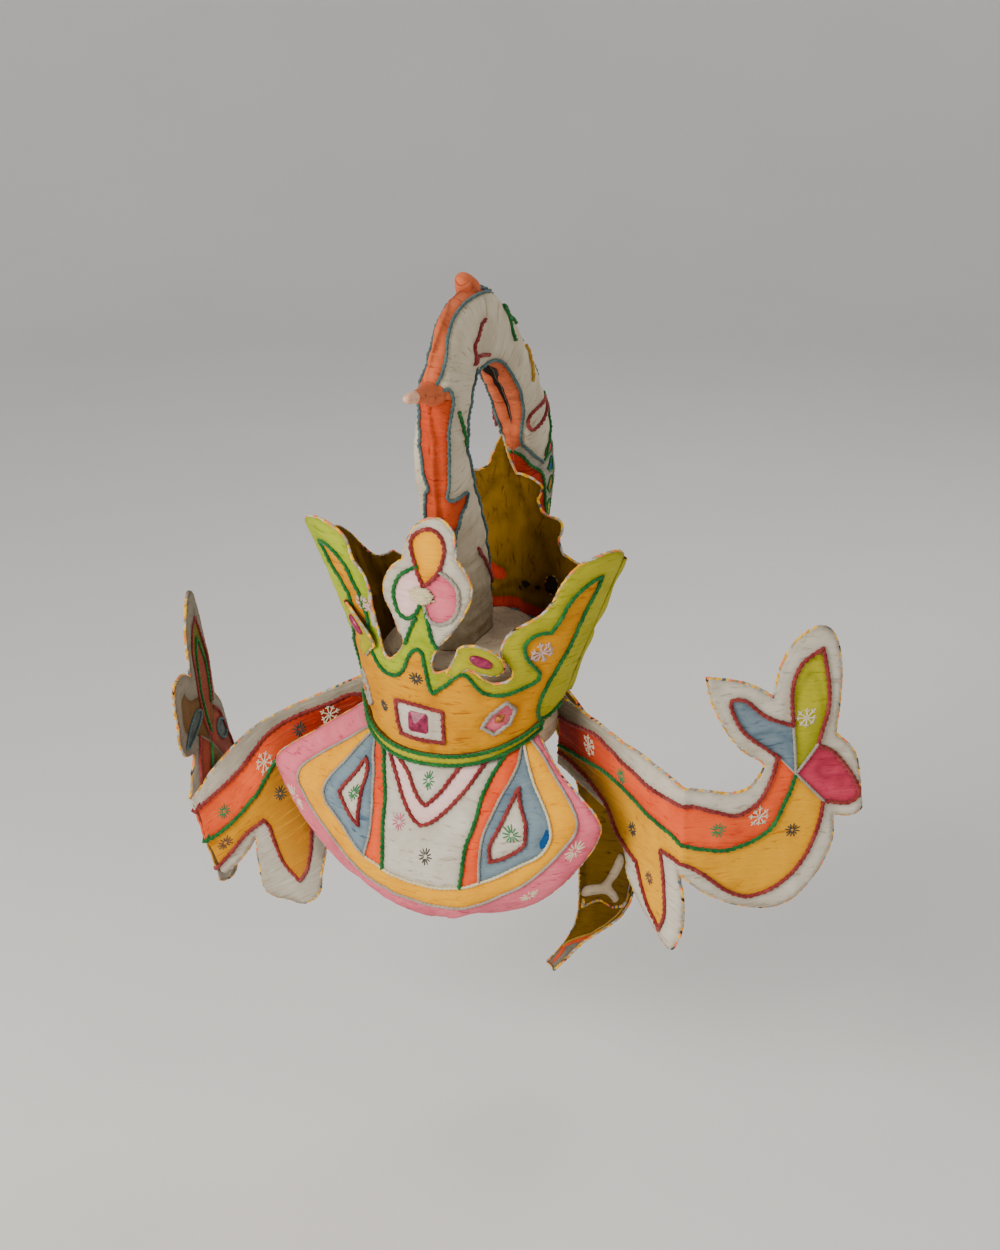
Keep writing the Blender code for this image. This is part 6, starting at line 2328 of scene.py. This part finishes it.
def make_arch():
    """The arch's skin: its pattern filled with triangles and closed along the inner face."""
    steps = round(ARCH_RUN / ARCH_STEP)
    rounds = round(2 * ARCH_GIRTH / ARCH_STEP)
    outline = [Vector((ARCH_RUN * k / steps, -ARCH_GIRTH)) for k in range(steps)]
    outline += [Vector((ARCH_RUN, -ARCH_GIRTH + 2 * ARCH_GIRTH * k / rounds)) for k in range(rounds)]
    outline += [Vector((ARCH_RUN * (1 - k / steps), ARCH_GIRTH)) for k in range(steps)]
    outline += [Vector((0, ARCH_GIRTH - 2 * ARCH_GIRTH * k / rounds)) for k in range(rounds)]
    patches = arch_patches()
    guides = []
    for low, high in ((-0.0045, -0.0022), (0.0, 0.0022)):
        guide = [p + Vector((0, low)) for p in CREASE_LINE]
        guides.append(guide + [p + Vector((0, high)) for p in CREASE_LINE[::-1]])
    flat, triangles = fill_pattern(outline, [loop for loop, _ in patches] + guides, ARCH_STEP)
    finishes = [COTTON["calico"]]
    chosen = np.zeros(len(triangles), int)
    paint_areas(flat[triangles].mean(axis=1), patches, finishes, chosen)
    lines = line_finder([loop for loop, _ in patches])
    points, near = [], []
    for x, y in flat:
        spot = arch_place(x, y)
        if abs(y) > ARCH_GIRTH - 1e-6:
            spot = (spot + arch_place(x, -y)) / 2
        points.append(spot)
        close = math.exp(-((lines.find((x, y, 0))[2] / SHADE_AND_GRIME_REACH) ** 2))
        # The cloth also gets darker towards the foot of the arch.
        low = max(0.0, 1 - x / ARCH_RUN / 0.22)
        near.append(max(close, 1.6 * low))
    pattern = [(y, x, 0.0) for x, y in flat]
    faces = [tuple(t) for t in triangles.tolist()]
    arch = write_mesh("arch_cloth", points, faces, finishes, chosen, pattern, near)
    body = bmesh.new()
    body.from_mesh(arch.data)
    bmesh.ops.remove_doubles(body, verts=[v for v in body.verts if v.is_boundary], dist=1e-5)
    bmesh.ops.holes_fill(body, edges=[e for e in body.edges if e.is_boundary], sides=0)
    bmesh.ops.recalc_face_normals(body, faces=body.faces)
    body.to_mesh(arch.data)
    body.free()
    arch.data.shade_smooth()
    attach(arch, "root")
    print("arch faces:", len(arch.data.polygons))
    return arch


arch = make_arch()
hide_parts("padded_arch")

# %% [markdown]
# A cord on soft cloth is pulled taut: it bridges the small hollows and still goes over the bumps.
# There is no card under these cords, so their places are lowered by half a card's thickness.

# %% Cords of the arch
RIDGE_CORD = [(0.522, 0.06), (0.56, 0.03), (0.61, 0.06), (0.66, 0.1), (0.69, 0.16)]
on_skin = raised(arch_place, -CARD / 2)


def arch_cord(name, colour, tables, radius=0.0016, seed=1):
    """Woollen cord on the arch, along open lines given as (share, around)."""
    lines = [(soft_line(on_arch(rows), CORD_STEP, False), False) for rows in tables]
    return couch(name, on_skin, lines, colour, radius, seed, taut=True)


teal_lines = [
    STRIPE_RIGHT[:-1], STRIPE_LEFT[:-1], LINING, mirrored(LINING), EYE + EYE[:1], RIDGE_CORD,
    mirrored(RIDGE_CORD),
]
green_lines = [REAR_GREEN_LINE, FLANK_END, mirrored(REAR_GREEN_LINE), mirrored(FLANK_END)]
diamonds = []
for share, around in REAR_DIAMONDS:
    diamonds += [closed_diamond(share, around), closed_diamond(share, -around)]
arch_cord("arch_teal_cord", "teal", teal_lines, seed=81)
for colour, strokes in ARCH_STROKES.items():
    both = strokes + [mirrored(rows) for rows in strokes]
    arch_cord("arch_" + colour + "_strokes", colour, both, 0.0018, 82)
arch_cord("arch_green_cord", "green", green_lines, seed=83)
arch_cord("arch_diamond_cord", "green", diamonds, 0.001, 85)
arch_cord("arch_grey_cord", "grey", [RIDGE_STRIP[:7], RIDGE_STRIP[7:]], 0.0012, 84)

# %% [markdown]
# Three small horns of stuffed cloth stand on the arch's ridge: a long one in front with a pale
# tip, a blunt one over the crest and a little barb behind. Each is turned from rings that widen
# into the arch at the foot, and a little noise keeps the rings from being perfect.

# %% The horns on the ridge
HORN_SIDES = 28
PALE_RING = 5
HORNS = [
    # name, share along the arch, length, radius, lean towards the front foot
    ("horn", 0.36, 0.05, 0.0105, 0.05),
    ("crest", 0.478, 0.017, 0.0105, 1.1),
    ("barb", 0.69, 0.012, 0.006, 0.1),
]
HORN_RINGS = {
    # rise as a share of the length, size as a share of the radius
    "horn": [
        (-0.22, 1.62), (-0.06, 1.18), (0.06, 0.92), (0.22, 0.74), (0.42, 0.64), (0.66, 0.56),
        (0.82, 0.5), (0.92, 0.42), (0.985, 0.28), (1.0, 0.1),
    ],
    "crest": [
        (-0.7, 1.25), (-0.2, 1.08), (0.15, 0.98), (0.5, 0.9), (0.78, 0.72), (0.95, 0.42),
        (1.0, 0.14),
    ],
    "barb": [
        (-0.6, 1.5), (-0.1, 1.12), (0.2, 0.8), (0.5, 0.5), (0.8, 0.26), (0.96, 0.12),
        (1.0, 0.04),
    ],
}


def make_horn(name, share, length, radius, lean):
    """One stuffed horn on the arch's ridge."""
    middle, deep, _ = arch_station(share)
    run, out = arch_out(share)
    foot = middle + out * deep / 2
    axis = (out - run * lean).normalized()
    across = Vector((1, 0, 0))
    along = axis.cross(across).normalized()
    rings = HORN_RINGS[name]
    points, pattern = [], []
    for rise, size in rings:
        for k in range(HORN_SIDES):
            turn = 2 * math.pi * k / HORN_SIDES
            way = across * math.cos(turn) + along * math.sin(turn)
            rough = noise.noise(foot * 9 + way * 0.9 + axis * rise * 2.2) * 0.16
            points.append(foot + axis * (rise * length) + way * radius * size * (1 + rough))
            pattern.append((turn * radius, rise * length, 0.0))
    faces = closed_rings(len(rings), HORN_SIDES)
    if along.cross(across).dot(axis) > 0:
        faces = [face[::-1] for face in faces]
    # The foot of each horn, where it widens into the arch, is a little darker.
    near = [0.3 if rise < 0.1 else 0.0 for rise, _ in rings for _ in range(HORN_SIDES)]
    pale = PALE_RING if name == "horn" else len(rings)
    tip = [k // HORN_SIDES >= pale for k in range(len(faces) - 2)] + [False, name == "horn"]
    cotton = [COTTON["peach"], COTTON["blush"]]
    horn = write_mesh("arch_" + name, points, faces, cotton, tip, pattern, near)
    soften = horn.modifiers.new("soften", "SUBSURF")
    soften.levels = 1
    soften.render_levels = 1
    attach(horn, "root")


for row in HORNS:
    make_horn(*row)

# %% [markdown]
# The headdress is shown hanging in the air over a plain pale floor, in soft studio light: a large
# lamp high on the left of the camera, a weaker one on the right, and a dim one behind that lifts
# the edges. The floor curves up all round, so that no edge of it shows from any side.

# %% Floor and light
FLOOR_LEVEL = -0.46
COVE_START = 3.0
COVE_RADIUS = 1.2
COVE_TOP = 2.1
COVE_PARTS = 72
COVE_STEPS = 8


def make_floor():
    """A round pale floor whose rim curves up all round."""
    profile = [(0.01, 0.0), (1.0, 0.0), (COVE_START, 0.0)]
    for k in range(1, COVE_STEPS + 1):
        turn = math.pi / 2 * k / COVE_STEPS
        reach = COVE_START + COVE_RADIUS * math.sin(turn)
        profile.append((reach, COVE_RADIUS * (1 - math.cos(turn))))
    profile.append((COVE_START + COVE_RADIUS, COVE_TOP))
    points = []
    for reach, height in profile:
        for k in range(COVE_PARTS):
            turn = 2 * math.pi * k / COVE_PARTS
            points.append((reach * math.cos(turn), reach * math.sin(turn), FLOOR_LEVEL + height))
    faces = [tuple(range(COVE_PARTS))]
    faces += [face[::-1] for face in ring_faces(len(profile), COVE_PARTS)]
    mesh = bpy.data.meshes.new("floor")
    mesh.from_pydata(points, [], faces)
    mesh.shade_smooth()
    floor = bpy.data.objects.new("floor", mesh)
    bpy.context.scene.collection.objects.link(floor)
    finish, tree, shader = start_finish("floor paint")
    patches = cloud(tree, add_node(tree, "TexCoord").outputs["Object"], 3.0)
    fill_inputs(tree, shader, {
        "Base Color": mix_colours(tree, patches, (0.8, 0.79, 0.77, 1), (0.86, 0.85, 0.83, 1)),
        "Roughness": 0.9,
    })
    mesh.materials.append(finish)


def add_lamp(name, place, target, size, power):
    """A square soft lamp that faces a target."""
    light = bpy.data.lights.new(name, "AREA")
    light.size = size
    light.energy = power
    light.color = (1.0, 0.95, 0.88)
    lamp = bpy.data.objects.new(name, light)
    lamp.location = place
    lamp.rotation_euler = (Vector(target) - Vector(place)).to_track_quat("-Z", "Y").to_euler()
    bpy.context.scene.collection.objects.link(lamp)


make_floor()
add_lamp("key lamp", (-1.0, -2.2, 1.3), (0, 0, 0.05), 1.3, 84)
add_lamp("fill lamp", (2.4, -1.2, 0.8), (0, 0, 0.05), 1.6, 16)
add_lamp("rim lamp", (0.4, 1.6, 1.7), (0, 0, 0.15), 1.2, 22)
world = bpy.data.worlds.new("studio")
world.use_nodes = True
sky = world.node_tree.nodes["Background"]
fill_inputs(world.node_tree, sky, {"Color": (0.92, 0.94, 1.0, 1), "Strength": 0.3})
bpy.context.scene.world = world

# %% [markdown]
# The camera stands 24 degrees to the right of the front and 23 degrees above it, with a long
# lens, because the object's own widths fit the photograph best that way. Its place and its turn
# come from three directions that are square to each other: right, up and back.

# %% The camera
VIEW_TURN = math.radians(24)
VIEW_RISE = math.radians(23)
VIEW_DISTANCE = 2.4
VIEW_TARGET = (0.033, 0.097)


def add_camera():
    """The camera at the photograph's angle."""
    right = Vector((math.cos(VIEW_TURN), math.sin(VIEW_TURN), 0))
    back = Vector((
        math.sin(VIEW_TURN) * math.cos(VIEW_RISE),
        -math.cos(VIEW_TURN) * math.cos(VIEW_RISE),
        math.sin(VIEW_RISE),
    ))
    up = back.cross(right)
    lens = bpy.data.cameras.new("camera")
    lens.sensor_fit = "VERTICAL"
    lens.sensor_height = 36
    lens.lens = VIEW_DISTANCE * 1000 / 1250 * 36
    camera = bpy.data.objects.new("camera", lens)
    camera.location = right * VIEW_TARGET[0] + up * VIEW_TARGET[1] + back * VIEW_DISTANCE
    camera.rotation_euler = back.to_track_quat("Z", "Y").to_euler()
    bpy.context.scene.collection.objects.link(camera)
    bpy.context.scene.camera = camera


add_camera()

# %% [markdown]
# A table lists the parts list's finish for each new piece, and the cut of each sheet of cloth is
# printed. The cut is measured from the sheet itself: its flat pattern gives the width and the
# length, and where the cloth flares beyond its pattern the width grows by that share.

# %% Finishes and cut sizes
SLOT_OF = [
    # start of a piece's name, the parts list's finish
    ("cap_", "cap_cloth"), ("crown_back", "olive_card"), ("torn_hole", "olive_card"),
    ("crown_", "crown_card"), ("brow_", "green_card"), ("leaf_right_stone", "ruby"),
    ("leaf_left_stone", "ruby"), ("leaf_", "green_card"), ("bib_", "bib_card"), ("arm_", "arm_card"),
    ("arch_", "arch_cloth"), ("rear_facing", "olive_card"), ("rear_tail", "arm_card"),
    ("felt_strip", "olive_card"),
]
SHEETS = [
    # sheet, how it is held, what it hangs from or lies on, start of the names of what is on it
    ("crown_back_cloth", "stretched", "head_cap", ("crown_back", "torn_hole")),
    ("crown_front_cloth", "stretched", "head_cap", ("crown_",)),
    ("brow_band_cloth", "laid", "crown_front_cloth", ("brow_band",)),
    ("leaf_right_cloth", "laid", "crown_front_cloth", ("leaf_right",)),
    ("leaf_left_cloth", "laid", "crown_front_cloth", ("leaf_left",)),
    ("bib_cloth", "hung", "crown_front_cloth", ("bib_",)),
    ("arm_right_cloth", "hung", "head_cap", ("arm_right",)),
    ("arm_left_cloth", "hung", "head_cap", ("arm_left",)),
    ("rear_facing_cloth", "laid", "rear_tail_cloth", ("rear_facing",)),
    ("felt_strip", "laid", "rear_facing_cloth", ()),
    ("rear_tail_cloth", "hung", "crown_back_cloth", ("rear_tail",)),
]


def triangle_area(a, b, c):
    """The area of one triangle."""
    return (b - a).cross(c - a).length / 2


def cut_size(sheet):
    """A sheet's cut width and length, and its real area, all from its mesh and its pattern."""
    mesh = sheet.data
    flat = [Vector(item.vector) for item in mesh.attributes["pattern"].data]
    low = [min(p[i] for p in flat) for i in (0, 1)]
    high = [max(p[i] for p in flat) for i in (0, 1)]
    drawn, real = 0.0, 0.0
    for face in mesh.polygons:
        corners = [flat[v].to_2d().to_3d() for v in face.vertices[:3]]
        if len(face.vertices) == 3:
            drawn += triangle_area(*corners) / 2
            real += face.area / 2
    return (high[0] - low[0]) * real / drawn, high[1] - low[1], real


def declare_cloth():
    """Print each sheet's cut and its area."""
    built = [o for o in bpy.context.scene.objects if o.type == "MESH" and "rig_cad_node" not in o]
    for piece in built:
        for start, name in SLOT_OF:
            if piece.name.startswith(start):
                break
    taken = {row[0] for row in SHEETS}
    for name, held, under, starts in SHEETS:
        sheet = bpy.data.objects[name]
        wide, long, area = cut_size(sheet)
        on_it = [o for o in built if starts and o.name.startswith(starts) and o.name not in taken]
        taken |= {o.name for o in on_it}
        print(name, "was cut", round(wide, 3), "by", round(long, 3), "m, area", round(area, 4))


declare_cloth()
